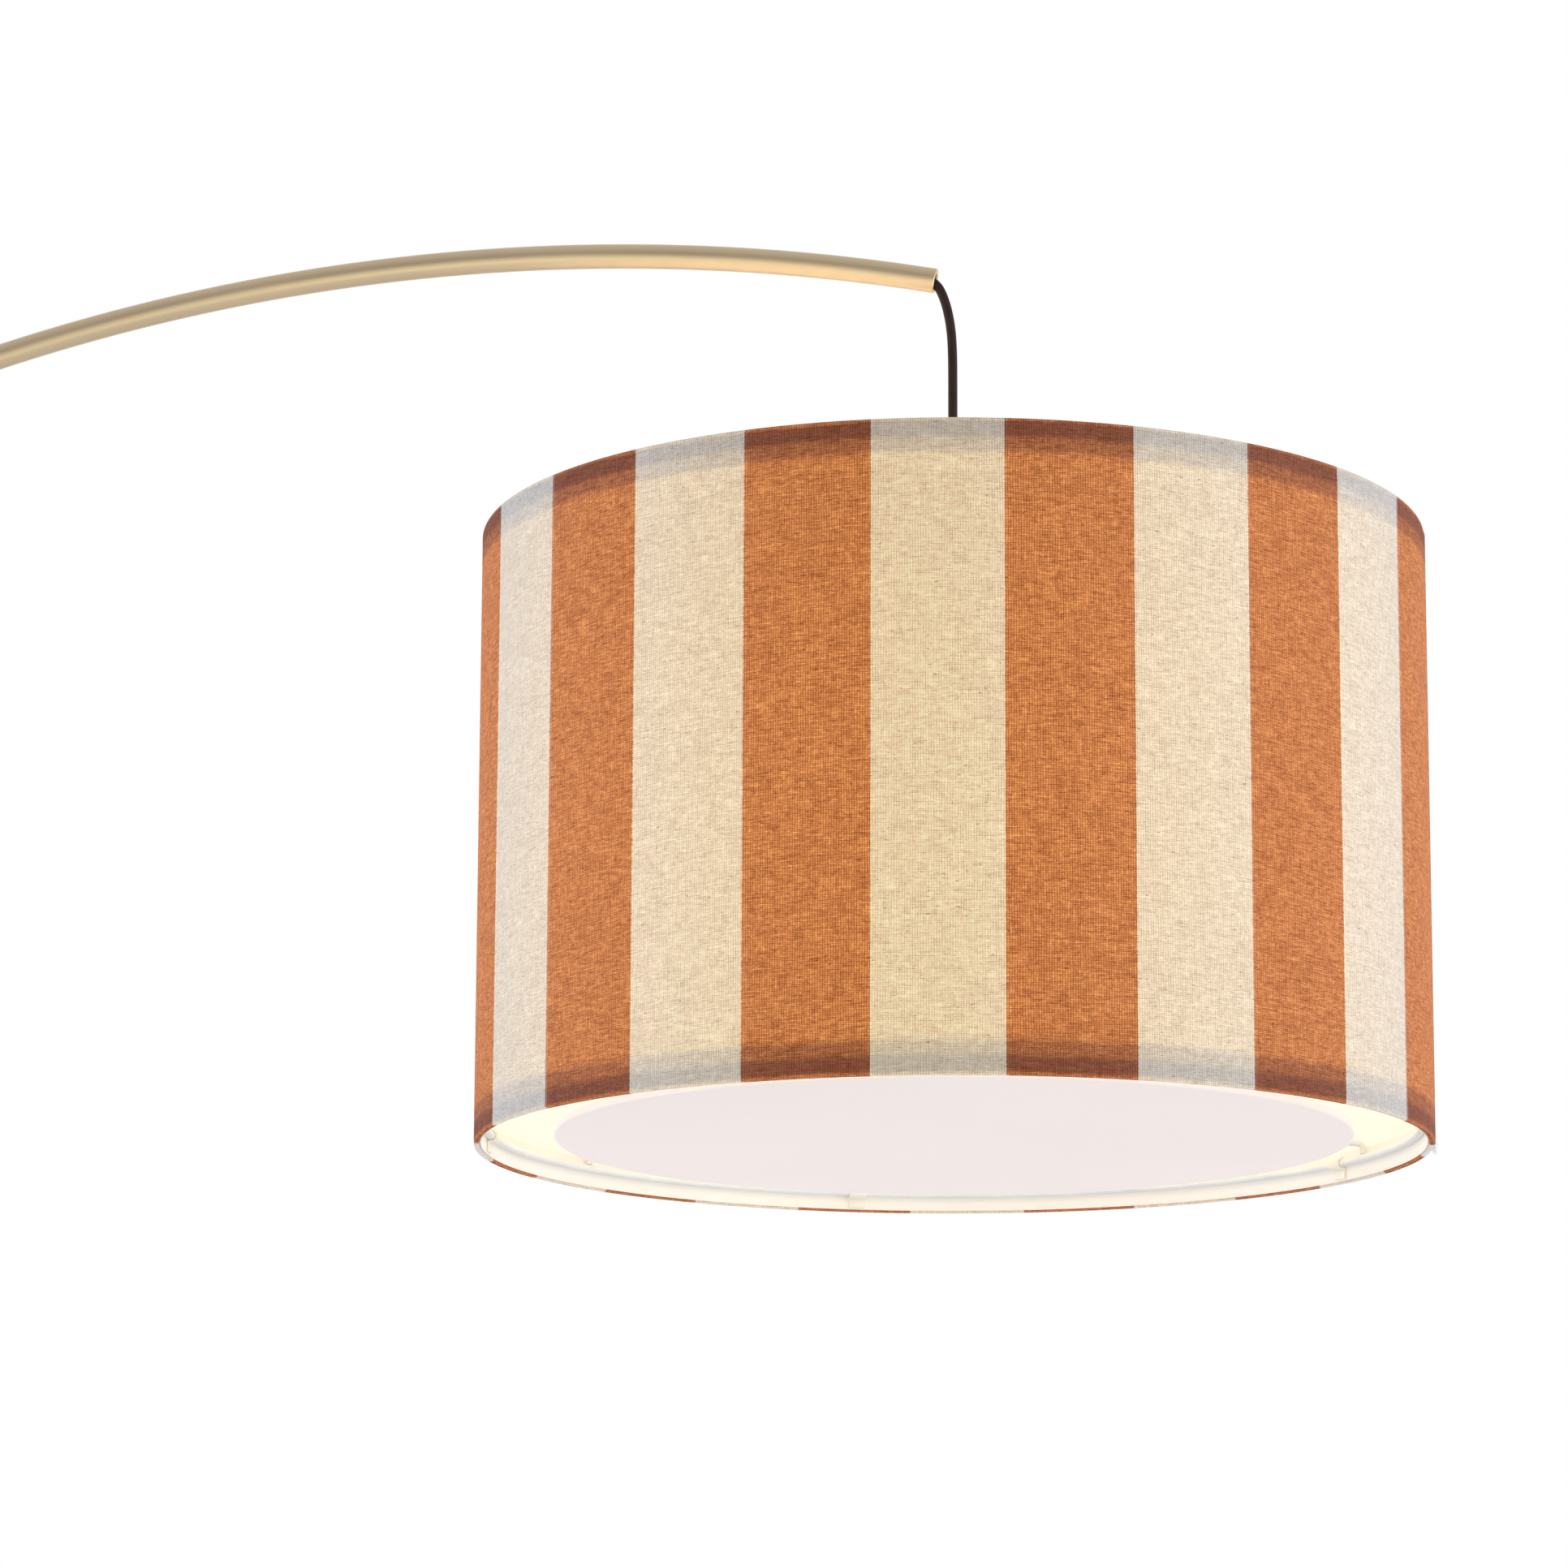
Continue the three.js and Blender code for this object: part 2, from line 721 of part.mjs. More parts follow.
function hemTape(name, low) {
  const tape = sleeve(TAPE_OUTER - TAPE_WALL, TAPE_OUTER, low, low + HEM_HEIGHT + 1, FINE);
  return piece(name, tape, whiteLining);
}

function spiderHub() {
  const topOfHub = SHADE_HEIGHT + HUB_TOP;
  const hub = sleeve(SKIRT_RADIUS + 1, 29, topOfHub - HUB_THICKNESS, topOfHub);
  return piece("spider_hub", hub, whiteSteel);
}

// A spoke leaves the hub level, then climbs to the top ring.
function spiderSpoke(number) {
  const hubMiddle = SHADE_HEIGHT + HUB_TOP - HUB_THICKNESS / 2;
  const ringInside = RING_RADIUS - WIRE_RADIUS - GAP;
  const route = new THREE.CurvePath();
  const start = new THREE.Vector3(29 + GAP, 0, hubMiddle);
  const knee = new THREE.Vector3(48, 0, hubMiddle);
  const end = new THREE.Vector3(ringInside, 0, TOP_RING_HEIGHT);
  route.add(new THREE.LineCurve3(start, knee));
  route.add(new THREE.LineCurve3(knee, end));
  const angle = FIRST_SPOKE_ANGLE + ((number - 1) * 360) / SPOKE_COUNT;
  const bar = swept(route, SPOKE_RADIUS, 0, FLEX_SIDES, 12);
  return turnedTo(angle, piece(`spider_spoke_${number}`, bar, whiteSteel));
}

// A springy clip grips the lower ring from inside and its foot lies flat on the hem tape.
function ringClip(number) {
  const width = 9;
  const hold = WIRE_RADIUS + GAP;
  const outside = hold + 1.3;
  const wallFace = WIRE_RADIUS - 0.1;
  const footFace = wallFace - 1;
  const footLow = -8;
  const section = new THREE.Shape();
  section.absarc(0, 0, outside, 75 * DEGREE, 260 * DEGREE, false);
  section.lineTo(footFace, -outside);
  section.lineTo(footFace, footLow);
  section.lineTo(wallFace, footLow);
  section.lineTo(wallFace, -hold - 0.3);
  section.absarc(0, 0, hold, 290 * DEGREE, 75 * DEGREE, true);
  const body = new THREE.ExtrudeGeometry(section, {
    depth: width,
    bevelEnabled: false,
    curveSegments: 6,
  });
  body.translate(0, 0, -width / 2);
  body.rotateX(Math.PI / 2);
  body.translate(RING_RADIUS, 0, LOWER_RING_HEIGHT);
  const angle = FIRST_CLIP_ANGLE + ((number - 1) * 360) / CLIP_COUNT;
  return turnedTo(angle, piece(`ring_clip_${number}`, body, nylon));
}

const BRACKET_HEIGHT = 17.5;
const BRACKET_WIRE = 1.6;
const BRACKET_END = 172;
const SADDLE_RADIUS = 180;
const DISH_PLATE = 2.2;
const DISH_RIM_HEIGHT = 5;

// A wire bracket stands on the lower ring and reaches in over the diffuser.
function diffuserBracket(number) {
  const route = new THREE.CurvePath();
  const foot = LOWER_RING_HEIGHT + WIRE_RADIUS + GAP;
  const corner = 2.5;
  const start = new THREE.Vector3(RING_RADIUS, 0, foot);
  const below = new THREE.Vector3(RING_RADIUS, 0, BRACKET_HEIGHT - corner);
  const corner3 = new THREE.Vector3(RING_RADIUS, 0, BRACKET_HEIGHT);
  const beside = new THREE.Vector3(RING_RADIUS - corner, 0, BRACKET_HEIGHT);
  const end = new THREE.Vector3(BRACKET_END, 0, BRACKET_HEIGHT);
  route.add(new THREE.LineCurve3(start, below));
  route.add(new THREE.QuadraticBezierCurve3(below, corner3, beside));
  route.add(new THREE.LineCurve3(beside, end));
  const angle = FIRST_BRACKET_ANGLE + ((number - 1) * 360) / BRACKET_COUNT;
  const bar = swept(route, BRACKET_WIRE, 0, LEAD_SIDES, 22);
  return turnedTo(angle, piece(`diffuser_bracket_${number}`, bar, whiteSteel));
}

// A saddle is glued to the diffuser and the bracket slides through it.
function diffuserSaddle(number) {
  const length = 12;
  const width = 10;
  const low = DIFFUSER_LIFT + DISH_PLATE + GAP;
  const high = BRACKET_HEIGHT + BRACKET_WIRE + 2;
  const block = new THREE.BoxGeometry(length, width, high - low);
  block.translate(SADDLE_RADIUS, 0, (low + high) / 2);
  const hole = crossbar(BRACKET_WIRE + GAP, SADDLE_RADIUS - length, SADDLE_RADIUS + length, 12);
  const saddle = cut(block, hole.translate(0, 0, BRACKET_HEIGHT));
  const angle = FIRST_BRACKET_ANGLE + ((number - 1) * 360) / BRACKET_COUNT;
  return turnedTo(angle, piece(`diffuser_saddle_${number}`, saddle, nylon));
}

function diffuser() {
  const outer = DIFFUSER_DIAMETER / 2;
  const rim = 1.6;
  const low = DIFFUSER_LIFT;
  const dish = turned(
    [
      [0, low],
      [outer - 1, low],
      [outer, low + 1],
      [outer, low + DISH_RIM_HEIGHT],
      [outer - rim, low + DISH_RIM_HEIGHT],
      [outer - rim, low + DISH_PLATE],
      [0, low + DISH_PLATE],
    ],
    FINE,
  );
  return piece("diffuser", dish, opal);
}

function numbered(count, make) {
  return Array.from({ length: count }, (_, index) => make(index + 1));
}

function shade() {
  return assembly(
    SHADE_X,
    SHADE_BOTTOM_Z,
    shadeFabric(),
    shadeLiner(),
    hemTape("hem_tape_lower", FABRIC_WALL + GAP),
    hemTape("hem_tape_top", SHADE_HEIGHT - FABRIC_WALL - GAP - HEM_HEIGHT - 1),
    spiderHub(),
    ...numbered(SPOKE_COUNT, spiderSpoke),
    piece("top_ring", wireRing(RING_RADIUS, WIRE_RADIUS, TOP_RING_HEIGHT), whiteSteel),
    piece("lower_ring", wireRing(RING_RADIUS, WIRE_RADIUS, LOWER_RING_HEIGHT), whiteSteel),
    ...numbered(CLIP_COUNT, ringClip),
    ...numbered(BRACKET_COUNT, diffuserBracket),
    ...numbered(BRACKET_COUNT, diffuserSaddle),
    diffuser(),
  );
}

const group = new THREE.Group();
group.add(...base(), ...pole(), ...arm(), pendantCord(), lampholder(), shade());

export default group;
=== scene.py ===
"""Looks of an arc floor lamp with a striped drum shade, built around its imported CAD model.

Metres, +Z up. The pole stands on the origin, and +X points from the pole towards the shade.
"""

import math
import random

import bmesh
import bpy
from mathutils import Matrix, Vector


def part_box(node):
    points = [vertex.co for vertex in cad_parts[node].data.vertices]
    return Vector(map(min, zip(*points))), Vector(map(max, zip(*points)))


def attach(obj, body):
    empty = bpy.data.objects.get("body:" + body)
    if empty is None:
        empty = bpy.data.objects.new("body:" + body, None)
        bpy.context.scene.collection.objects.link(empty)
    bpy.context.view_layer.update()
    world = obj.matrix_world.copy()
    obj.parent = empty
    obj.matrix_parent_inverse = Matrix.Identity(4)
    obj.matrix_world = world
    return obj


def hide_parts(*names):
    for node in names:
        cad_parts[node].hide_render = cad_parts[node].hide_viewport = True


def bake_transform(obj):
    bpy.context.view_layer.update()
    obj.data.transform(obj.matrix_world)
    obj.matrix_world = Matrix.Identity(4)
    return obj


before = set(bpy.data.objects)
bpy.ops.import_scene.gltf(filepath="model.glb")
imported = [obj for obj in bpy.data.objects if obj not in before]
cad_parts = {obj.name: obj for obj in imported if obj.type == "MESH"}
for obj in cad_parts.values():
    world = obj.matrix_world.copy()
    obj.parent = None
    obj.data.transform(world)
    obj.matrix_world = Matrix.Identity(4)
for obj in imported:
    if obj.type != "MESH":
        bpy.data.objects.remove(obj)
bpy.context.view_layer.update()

X_AXIS = Vector((1, 0, 0))
Y_AXIS = Vector((0, 1, 0))
Z_AXIS = Vector((0, 0, 1))

# Driving dimensions
ARC_RADIUS = 1.020  # centreline of the arm
TIP_ANGLE = math.radians(11.3)  # how far past its highest point the arm runs
ARM_RADIUS = 0.00635
ARM_WALL = 0.0012
ARM_SPIGOT = 0.060  # straight foot of the arm, inside the pole
ARM_JOINTS = (0.580, 1.200)  # where its three lengths of tube meet, along the arm
CORD_DIAMETER = 0.0048
WIRE_RADIUS = 0.002
GAP = 0.0003  # between pieces that touch
STRIPE_COUNT = 24
FIRST_STRIPE = math.radians(-3.2)  # where a cream stripe starts, turning from +X
SEAM_ANGLE = math.radians(2.2)  # where the cloth ends
LAP_TURN = math.radians(2.6)  # its end laps over its start by this much
LAP_RISE = 0.0004
HOLDER_TILT = math.radians(10)  # each way on the flex's end
WARP_PITCH = 0.00124  # upright threads, side by side
WEFT_PITCH = 0.000865  # level threads, one above the other
HEM_FOLD = 0.0095  # the cloth and the tape both lie behind this much of each edge
HEM_TAPE = 0.0165  # only the tape lies behind this much

# Places from the frame
shade_low, shade_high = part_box("shade_fabric")
SHADE_X = (shade_low.x + shade_high.x) / 2
SHADE_RADIUS = (shade_high.x - shade_low.x) / 2
SHADE_BOTTOM = shade_low.z
SHADE_TOP = shade_high.z
SHADE_HEIGHT = SHADE_TOP - SHADE_BOTTOM
ARC_CENTRE_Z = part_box("arm_tube_lower")[0].z + ARM_SPIGOT
ARM_LENGTH = ARC_RADIUS * (math.pi / 2 + TIP_ANGLE)
TIP_X = ARC_RADIUS * (1 + math.sin(TIP_ANGLE))
TIP_Z = ARC_CENTRE_Z + ARC_RADIUS * math.cos(TIP_ANGLE)
POLE_RADIUS = (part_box("pole_upper")[1].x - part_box("pole_upper")[0].x) / 2
BASE_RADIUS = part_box("base_cover")[1].x


def heights(node, origin=0.0):
    """The lowest and highest point of a CAD node, above an origin."""
    low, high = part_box(node)
    return low.z - origin, high.z - origin


# Camera and lights


def add_camera():
    """Looks up at the shade from in front of it."""
    yaw, pitch = math.radians(6.5), math.radians(-10.66)
    distance = 2.75
    aim_up, aim_left = 0.1148, 0.0223  # from the middle of the shade's lower edge
    back = Vector((math.sin(yaw) * math.cos(pitch), -math.cos(yaw) * math.cos(pitch), math.sin(pitch)))
    right = Vector((math.cos(yaw), math.sin(yaw), 0))
    target = Vector((SHADE_X, 0, SHADE_BOTTOM + aim_up)) - aim_left * right
    lens = bpy.data.cameras.new("camera")
    lens.sensor_width = 36
    lens.lens = 125
    lens.shift_x = -0.08
    lens.shift_y = 0.09
    camera = bpy.data.objects.new("camera", lens)
    camera.location = target + distance * back
    camera.rotation_euler = (-back).to_track_quat("-Z", "Y").to_euler()
    bpy.context.scene.collection.objects.link(camera)
    bpy.context.scene.camera = camera


def add_area_light(name, place, aim, width, height, power, colour):
    data = bpy.data.lights.new(name, "AREA")
    data.shape = "RECTANGLE"
    data.size = width
    data.size_y = height
    data.energy = power
    data.color = colour
    light = bpy.data.objects.new(name, data)
    light.location = place
    light.rotation_euler = (Vector(aim) - Vector(place)).to_track_quat("-Z", "Y").to_euler()
    bpy.context.scene.collection.objects.link(light)


def add_lights():
    middle = (SHADE_X, 0, 1.5)
    add_area_light("left_softbox", (SHADE_X - 2.7, -0.3, 1.6), middle, 1.4, 2.2, 40, (0.44, 0.63, 1.0))
    add_area_light("right_softbox", (SHADE_X + 2.7, -0.3, 1.6), middle, 1.4, 2.2, 43, (0.60, 0.77, 1.0))
    add_area_light("shade_glow", (1.02, -0.75, 1.30), (1.02, 0, 1.86), 0.66, 0.35, 0.66, (0.96, 1.0, 0.50))
    bpy.data.objects["shade_glow"].visible_camera = False


# Node graphs


class Graph:
    """A shader node tree. Numbers and colours go on a node's own sockets, and outputs are linked."""

    def __init__(self, tree):
        self.tree = tree

    def feed(self, socket, value):
        if isinstance(value, bpy.types.NodeSocket):
            self.tree.links.new(value, socket)
        else:
            socket.default_value = (*value, 1) if socket.type == "RGBA" else value

    def node(self, kind, *values, **settings):
        made = self.tree.nodes.new("ShaderNode" + kind)
        for key, value in settings.items():
            setattr(made, key, value)
        for index, value in enumerate(values):
            self.feed(made.inputs[index], value)
        return made

    def math(self, operation, *values):
        return self.node("Math", *values, operation=operation).outputs[0]

    def add(self, a, b):
        return self.math("ADD", a, b)

    def times(self, a, b):
        return self.math("MULTIPLY", a, b)

    def place(self):
        """Where a point is on the object, in metres."""
        return self.node("TexCoord").outputs["Object"]

    def parts(self, vector):
        return self.node("SeparateXYZ", vector).outputs

    def vector(self, x, y, z=0.0):
        return self.node("CombineXYZ", x, y, z).outputs[0]

    def scaled(self, vector, x, y, z):
        made = self.node("VectorMath", vector, operation="MULTIPLY")
        made.inputs[1].default_value = (x, y, z)
        return made.outputs[0]

    def noise(self, vector, scale, detail=2.0, roughness=0.5):
        made = self.node("TexNoise", vector, normalize=True)
        made.inputs["Scale"].default_value = scale
        made.inputs["Detail"].default_value = detail
        made.inputs["Roughness"].default_value = roughness
        return made.outputs["Fac"]

    def mixed(self, share, a, b):
        made = self.node("Mix", share, data_type="FLOAT")
        self.feed(made.inputs[2], a)
        self.feed(made.inputs[3], b)
        return made.outputs[0]

    def spread(self, value, low, high, to_low=0.0, to_high=1.0, smooth=False):
        """The value moved from one range to another, and held inside it."""
        made = self.node("MapRange", value, low, high, to_low, to_high)
        made.interpolation_type = "SMOOTHSTEP" if smooth else "LINEAR"
        return made.outputs["Result"]

    def blend(self, share, a, b, mode="MIX"):
        made = self.node("Mix", share, data_type="RGBA", blend_type=mode)
        self.feed(made.inputs[6], a)
        self.feed(made.inputs[7], b)
        return made.outputs[2]

    def drifting(self, cloud, fine, low, high, swing):
        """A brightness that drifts between low and high, with a finer swing either way."""
        drift = self.spread(cloud, 0.3, 0.7, low, high)
        return self.add(drift, self.spread(fine, 0.2, 0.8, -swing, swing))

    def tinted(self, colour, level):
        """A colour times a number that varies over the surface."""
        return self.blend(1.0, colour, self.vector(level, level, level), "MULTIPLY")


class Finish(Graph):
    """One material's node graph around a Principled shader."""

    def __init__(self, name, **constants):
        self.material = bpy.data.materials.new(name)
        self.material.use_nodes = True
        super().__init__(self.material.node_tree)
        self.shader = self.tree.nodes["Principled BSDF"]
        for socket, value in constants.items():
            self.set(socket.replace("_", " "), value)

    def set(self, socket, value):
        self.feed(self.shader.inputs[socket], value)

    def bump(self, height, strength, distance):
        made = self.node("Bump")
        made.inputs["Strength"].default_value = strength
        made.inputs["Distance"].default_value = distance
        self.tree.links.new(height, made.inputs["Height"])
        self.set("Normal", made.outputs[0])


# World

# The studio's brightness by height: 0 is straight down, 0.5 level and 1 straight up
FRONT_STUDIO = ((0.0, 0.19), (0.46, 0.21), (0.54, 0.23), (0.66, 0.28), (0.8, 0.42), (0.95, 0.56), (1, 0.58))
BACK_STUDIO = ((0.0, 0.24), (0.44, 0.30), (0.54, 0.80), (0.70, 0.94), (0.85, 0.82), (0.95, 0.68), (1.0, 0.58))


def add_world():
    """White for the camera. Everything else sees a soft studio that is brighter behind and overhead."""
    world = bpy.data.worlds.new("studio")
    bpy.context.scene.world = world
    world.use_nodes = True
    world.node_tree.nodes.clear()
    graph = Graph(world.node_tree)
    direction = graph.parts(graph.node("TexCoord").outputs["Generated"])
    height = graph.spread(direction["Z"], -1, 1)

    def level_by_height(stops):
        ramp = graph.node("ValToRGB", height)
        ramp.color_ramp.interpolation = "EASE"
        for spot, _ in stops[1:-1]:
            ramp.color_ramp.elements.new(spot)
        for element, (spot, level) in zip(ramp.color_ramp.elements, stops):
            element.position = spot
            element.color = (level, level, level, 1)
        return ramp.outputs["Color"]

    behind = graph.spread(direction["Y"], 0.1, 0.8, smooth=True)
    studio = graph.blend(behind, level_by_height(FRONT_STUDIO), level_by_height(BACK_STUDIO))
    soft = graph.node("Background", studio).outputs[0]
    backdrop = graph.node("Background", (1, 1, 1)).outputs[0]
    camera_ray = graph.node("LightPath").outputs["Is Camera Ray"]
    graph.node("OutputWorld", graph.node("MixShader", camera_ray, soft, backdrop).outputs[0])
    bpy.context.scene.view_settings.view_transform = "Standard"


# Materials

CREAM_CLOTH = (0.735, 0.605, 0.495)
RUST_CLOTH = (0.315, 0.094, 0.046)
CREAM_GLOW = (0.318, 0.200, 0.056)
RUST_GLOW = (0.372, 0.130, 0.026)


def grained_metal(name, colour, roughness, grain=0.03, relief=0.12, coat=0.0):
    """Metal whose gloss and tint drift a little, with a fine grain."""
    finish = Finish(name, Metallic=1.0, Coat_Weight=coat, Coat_Roughness=0.35)
    place = finish.place()
    cloud = finish.noise(place, 9, 3)
    fine = finish.noise(place, 1400, 2)
    finish.set("Base Color", finish.tinted(colour, finish.drifting(cloud, fine, 0.965, 1.02, 0.012)))
    gloss = finish.spread(cloud, 0.3, 0.7, roughness - 0.03, roughness + 0.03)
    finish.set("Roughness", finish.add(gloss, finish.times(fine, grain)))
    finish.bump(fine, relief, 0.0002)
    return finish.material


def moulded(name, colour, roughness, texture=0.08, scale=900, **constants):
    """Plastic, rubber or paint with a fine moulded or sprayed texture."""
    finish = Finish(name, **constants)
    place = finish.place()
    fine = finish.noise(place, scale, 3)
    cloud = finish.noise(place, 25, 3)
    finish.set("Base Color", finish.tinted(colour, finish.drifting(cloud, fine, 0.94, 1.03, 0.03)))
    finish.set("Roughness", finish.spread(fine, 0.2, 0.8, roughness - 0.05, roughness + 0.05))
    finish.bump(fine, texture, 0.0003)
    return finish.material


def cast_iron():
    finish = Finish("cast_iron", Metallic=0.4)
    place = finish.place()
    lumps = finish.noise(place, 160, 5, 0.65)
    stains = finish.noise(place, 14, 4)
    finish.set("Base Color", finish.blend(stains, (0.035, 0.034, 0.034), (0.075, 0.066, 0.06)))
    finish.set("Roughness", finish.spread(lumps, 0.3, 0.7, 0.65, 0.9))
    finish.bump(lumps, 0.6, 0.0012)
    return finish.material


def ribbed_rubber():
    finish = Finish("ribbed_rubber", Specular_IOR_Level=0.3)
    place = finish.place()
    x, y = finish.parts(place)[:2]
    reach = finish.math("SQRT", finish.add(finish.times(x, x), finish.times(y, y)))
    ribs = finish.math("SINE", finish.times(reach, 2 * math.pi / 0.004))
    dust = finish.noise(place, 60, 4)
    finish.set("Base Color", finish.blend(dust, (0.016, 0.015, 0.015), (0.04, 0.038, 0.036)))
    finish.set("Roughness", finish.spread(dust, 0.3, 0.7, 0.7, 0.85))
    finish.bump(ribs, 0.5, 0.0006)
    return finish.material


def cord_sheath():
    """Dark brown-black sheath with the faint twist of the wires under it."""
    finish = Finish("cord_sheath", Specular_IOR_Level=0.25)
    place = finish.place()
    y, z = finish.parts(place)[1:]
    fine = finish.noise(place, 1500, 3)
    cloud = finish.noise(place, 60, 2)
    level = finish.drifting(cloud, fine, 0.8, 1.25, 0.25)
    finish.set("Base Color", finish.tinted((0.036, 0.018, 0.010), level))
    finish.set("Roughness", finish.spread(fine, 0.2, 0.8, 0.5, 0.7))
    twist = finish.math("SINE", finish.add(finish.times(z, 2 * math.pi / 0.032), finish.times(y, 500)))
    finish.bump(finish.add(finish.times(twist, 0.4), fine), 0.3, 0.0002)
    return finish.material


class Linen(Finish):
    """Plain weave in upright stripes. On the flat cloth u runs round the shade and v up it, in metres."""

    def __init__(self, name):
        super().__init__(name, Roughness=0.88, Specular_IOR_Level=0.22)
        self.uv = self.node("UVMap", uv_map="cloth").outputs[0]
        self.u, self.v = self.parts(self.uv)[:2]
        self.lay_yarns()
        self.terracotta = self.stripes()

    def cloth_noise(self, across, up, detail, scale=1):
        return self.noise(self.scaled(self.uv, across, up, 1), scale, detail)

    def lay_yarns(self):
        """Two sets of yarns that wander a little. Each yarn has a number and a round back."""
        across = self.add(self.u, self.spread(self.cloth_noise(40, 40, 2), 0, 1, -0.0006, 0.0006))
        up = self.add(self.v, self.spread(self.cloth_noise(25, 60, 2, 1.3), 0, 1, -0.0005, 0.0005))
        self.warp = self.math("DIVIDE", across, WARP_PITCH)
        self.weft = self.math("DIVIDE", up, WEFT_PITCH)
        self.warp_line = self.math("FLOOR", self.warp)
        self.weft_line = self.math("FLOOR", self.weft)
        self.warp_round = self.round_backs(self.warp)
        self.weft_round = self.round_backs(self.weft)

    def round_backs(self, yarns):
        """0 in the gaps between yarns and 1 along the middle of each."""
        return self.math("ABSOLUTE", self.math("SINE", self.times(yarns, math.pi)))

    def stripes(self):
        """0 in a cream stripe and 1 in a terracotta one, with edges that step from yarn to yarn."""
        ragged = self.spread(self.cloth_noise(300, 1 / WEFT_PITCH, 1), 0, 1, -0.0004, 0.0004)
        stripe_width = 2 * math.pi * SHADE_RADIUS / STRIPE_COUNT
        stripe = self.math("DIVIDE", self.add(self.u, ragged), stripe_width)
        lapped = self.math("GREATER_THAN", stripe, STRIPE_COUNT)
        return self.math("MAXIMUM", self.math("MODULO", self.math("FLOOR", stripe), 2.0), lapped)

    def weave(self):
        """The height of whichever yarn is on top."""
        warp_on_top = self.math("PINGPONG", self.add(self.warp_line, self.weft_line), 1.0)
        over_warp = self.times(self.warp_round, self.spread(self.weft_round, 0, 1, 0.45, 1))
        over_weft = self.times(self.weft_round, self.spread(self.warp_round, 0, 1, 0.45, 1))
        return self.mixed(warp_on_top, over_weft, over_warp)

    def along_level(self, line, stretch, seed=0.0):
        """A noise that is new in each line and changes along it."""
        return self.noise(self.vector(self.times(self.u, stretch), self.times(line, 5.37), seed), 1, 2)

    def along_upright(self, line, stretch, seed):
        return self.noise(self.vector(self.times(line, 5.37), self.times(self.v, stretch), seed), 1, 2)

    def painted_gap_shadows(self, along, round_backs):
        """Painted shadow: short dark marks where the yarns on either side of a gap lie apart."""
        return self.times(self.spread(along, 0.51, 0.6), self.spread(round_backs, 0, 0.6, 1, 0))

    def varied(self, source, low, high, cream_depth, rust_depth):
        """A brightness that swings either way round 1, by a different depth in each stripe."""
        swing = self.spread(source, low, high, -1, 1)
        depth = self.mixed(self.terracotta, cream_depth, rust_depth)
        return self.add(1.0, self.times(swing, depth))

    def tone(self, weave, level_yarn):
        """How bright the cloth is. Each yarn has its own brightness, and so does each crossing. Painted shade
        darkens the gaps between yarns and the low points of the weave, and painted shadows lie where yarns
        part.
        """
        upright_yarn = self.along_upright(self.warp_line, 120, 7)
        cell = self.vector(self.warp_line, self.weft_line)
        crossing = self.node("TexWhiteNoise", cell, noise_dimensions="2D").outputs[0]
        # painted shade in the gaps between yarns
        gaps = self.times(self.spread(self.warp_round, 0, 0.7), self.spread(self.weft_round, 0, 0.7))
        tone = self.varied(gaps, 0, 1, 0.11, 0.17)
        for source, low, high, cream_depth, rust_depth in (
            # painted shade: raised yarns lighter, the low points of the weave darker
            (weave, 0.2, 0.9, 0.03, 0.05),
            (level_yarn, 0.25, 0.75, 0.10, 0.18),
            (upright_yarn, 0.25, 0.75, 0.06, 0.10),
            (crossing, 0, 1, 0.05, 0.09),
            (self.noise(self.uv, 70, 3), 0.3, 0.7, 0.015, 0.03),
        ):
            tone = self.times(tone, self.varied(source, low, high, cream_depth, rust_depth))
        flecks = self.spread(self.cloth_noise(300, 900, 1), 0.69, 0.77)
        tone = self.times(tone, self.spread(flecks, 0, 1, 1.0, 0.62))
        level_gap = self.math("FLOOR", self.add(self.weft, 0.5))
        upright_gap = self.math("FLOOR", self.add(self.warp, 0.5))
        # painted shadows where the yarns on either side of a gap lie apart
        for gap_shadow, cream_depth, rust_depth in (
            (self.painted_gap_shadows(self.along_level(level_gap, 170, 3), self.weft_round), 0.30, 0.62),
            (self.painted_gap_shadows(self.along_upright(upright_gap, 170, 5), self.warp_round), 0.18, 0.28),
        ):
            depth = self.mixed(self.terracotta, cream_depth, rust_depth)
            tone = self.times(tone, self.math("SUBTRACT", 1.0, self.times(gap_shadow, depth)))
        return tone

    def dyed(self, tone, cream, rust, depth):
        """The stripes' colours. Where the tone is low, from the yarns' own brightness or from painted shade,
        the colour is darker and redder too.
        """
        levels = [self.math("POWER", tone, depth * share) for share in (1, 1.4, 1.7)]
        colour = self.blend(self.terracotta, cream, rust)
        return self.blend(1.0, colour, self.vector(*levels), "MULTIPLY")

    def light_through(self):
        """How much light comes through. Folded hems, tapes and the seam's lap hold some back."""
        from_edge = self.math("MINIMUM", self.v, self.math("SUBTRACT", SHADE_HEIGHT, self.v))
        from_edge = self.add(from_edge, self.spread(self.cloth_noise(14, 1, 2), 0, 1, -0.0012, 0.0012))
        past_fold = self.spread(from_edge, HEM_FOLD - 0.0022, HEM_FOLD + 0.0016, smooth=True)
        past_tape = self.spread(from_edge, HEM_TAPE - 0.0022, HEM_TAPE + 0.0022, smooth=True)
        lit = self.add(self.times(past_fold, 0.4), self.times(past_tape, 0.6))
        lit = self.times(lit, self.spread(from_edge, 0.016, 0.10, 0.95, 1.02))
        past_start = self.math("SUBTRACT", self.u, SHADE_RADIUS * (SEAM_ANGLE - FIRST_STRIPE))
        from_seam = self.math("MODULO", past_start, 2 * math.pi * SHADE_RADIUS)
        lap_start = SHADE_RADIUS * (2 * math.pi - LAP_TURN)
        lit = self.times(lit, self.spread(from_seam, lap_start - 0.0006, lap_start, 1.0, 0.5))
        return self.add(lit, self.spread(from_edge, 0.0008, 0.0022, 0.55, 0.0))


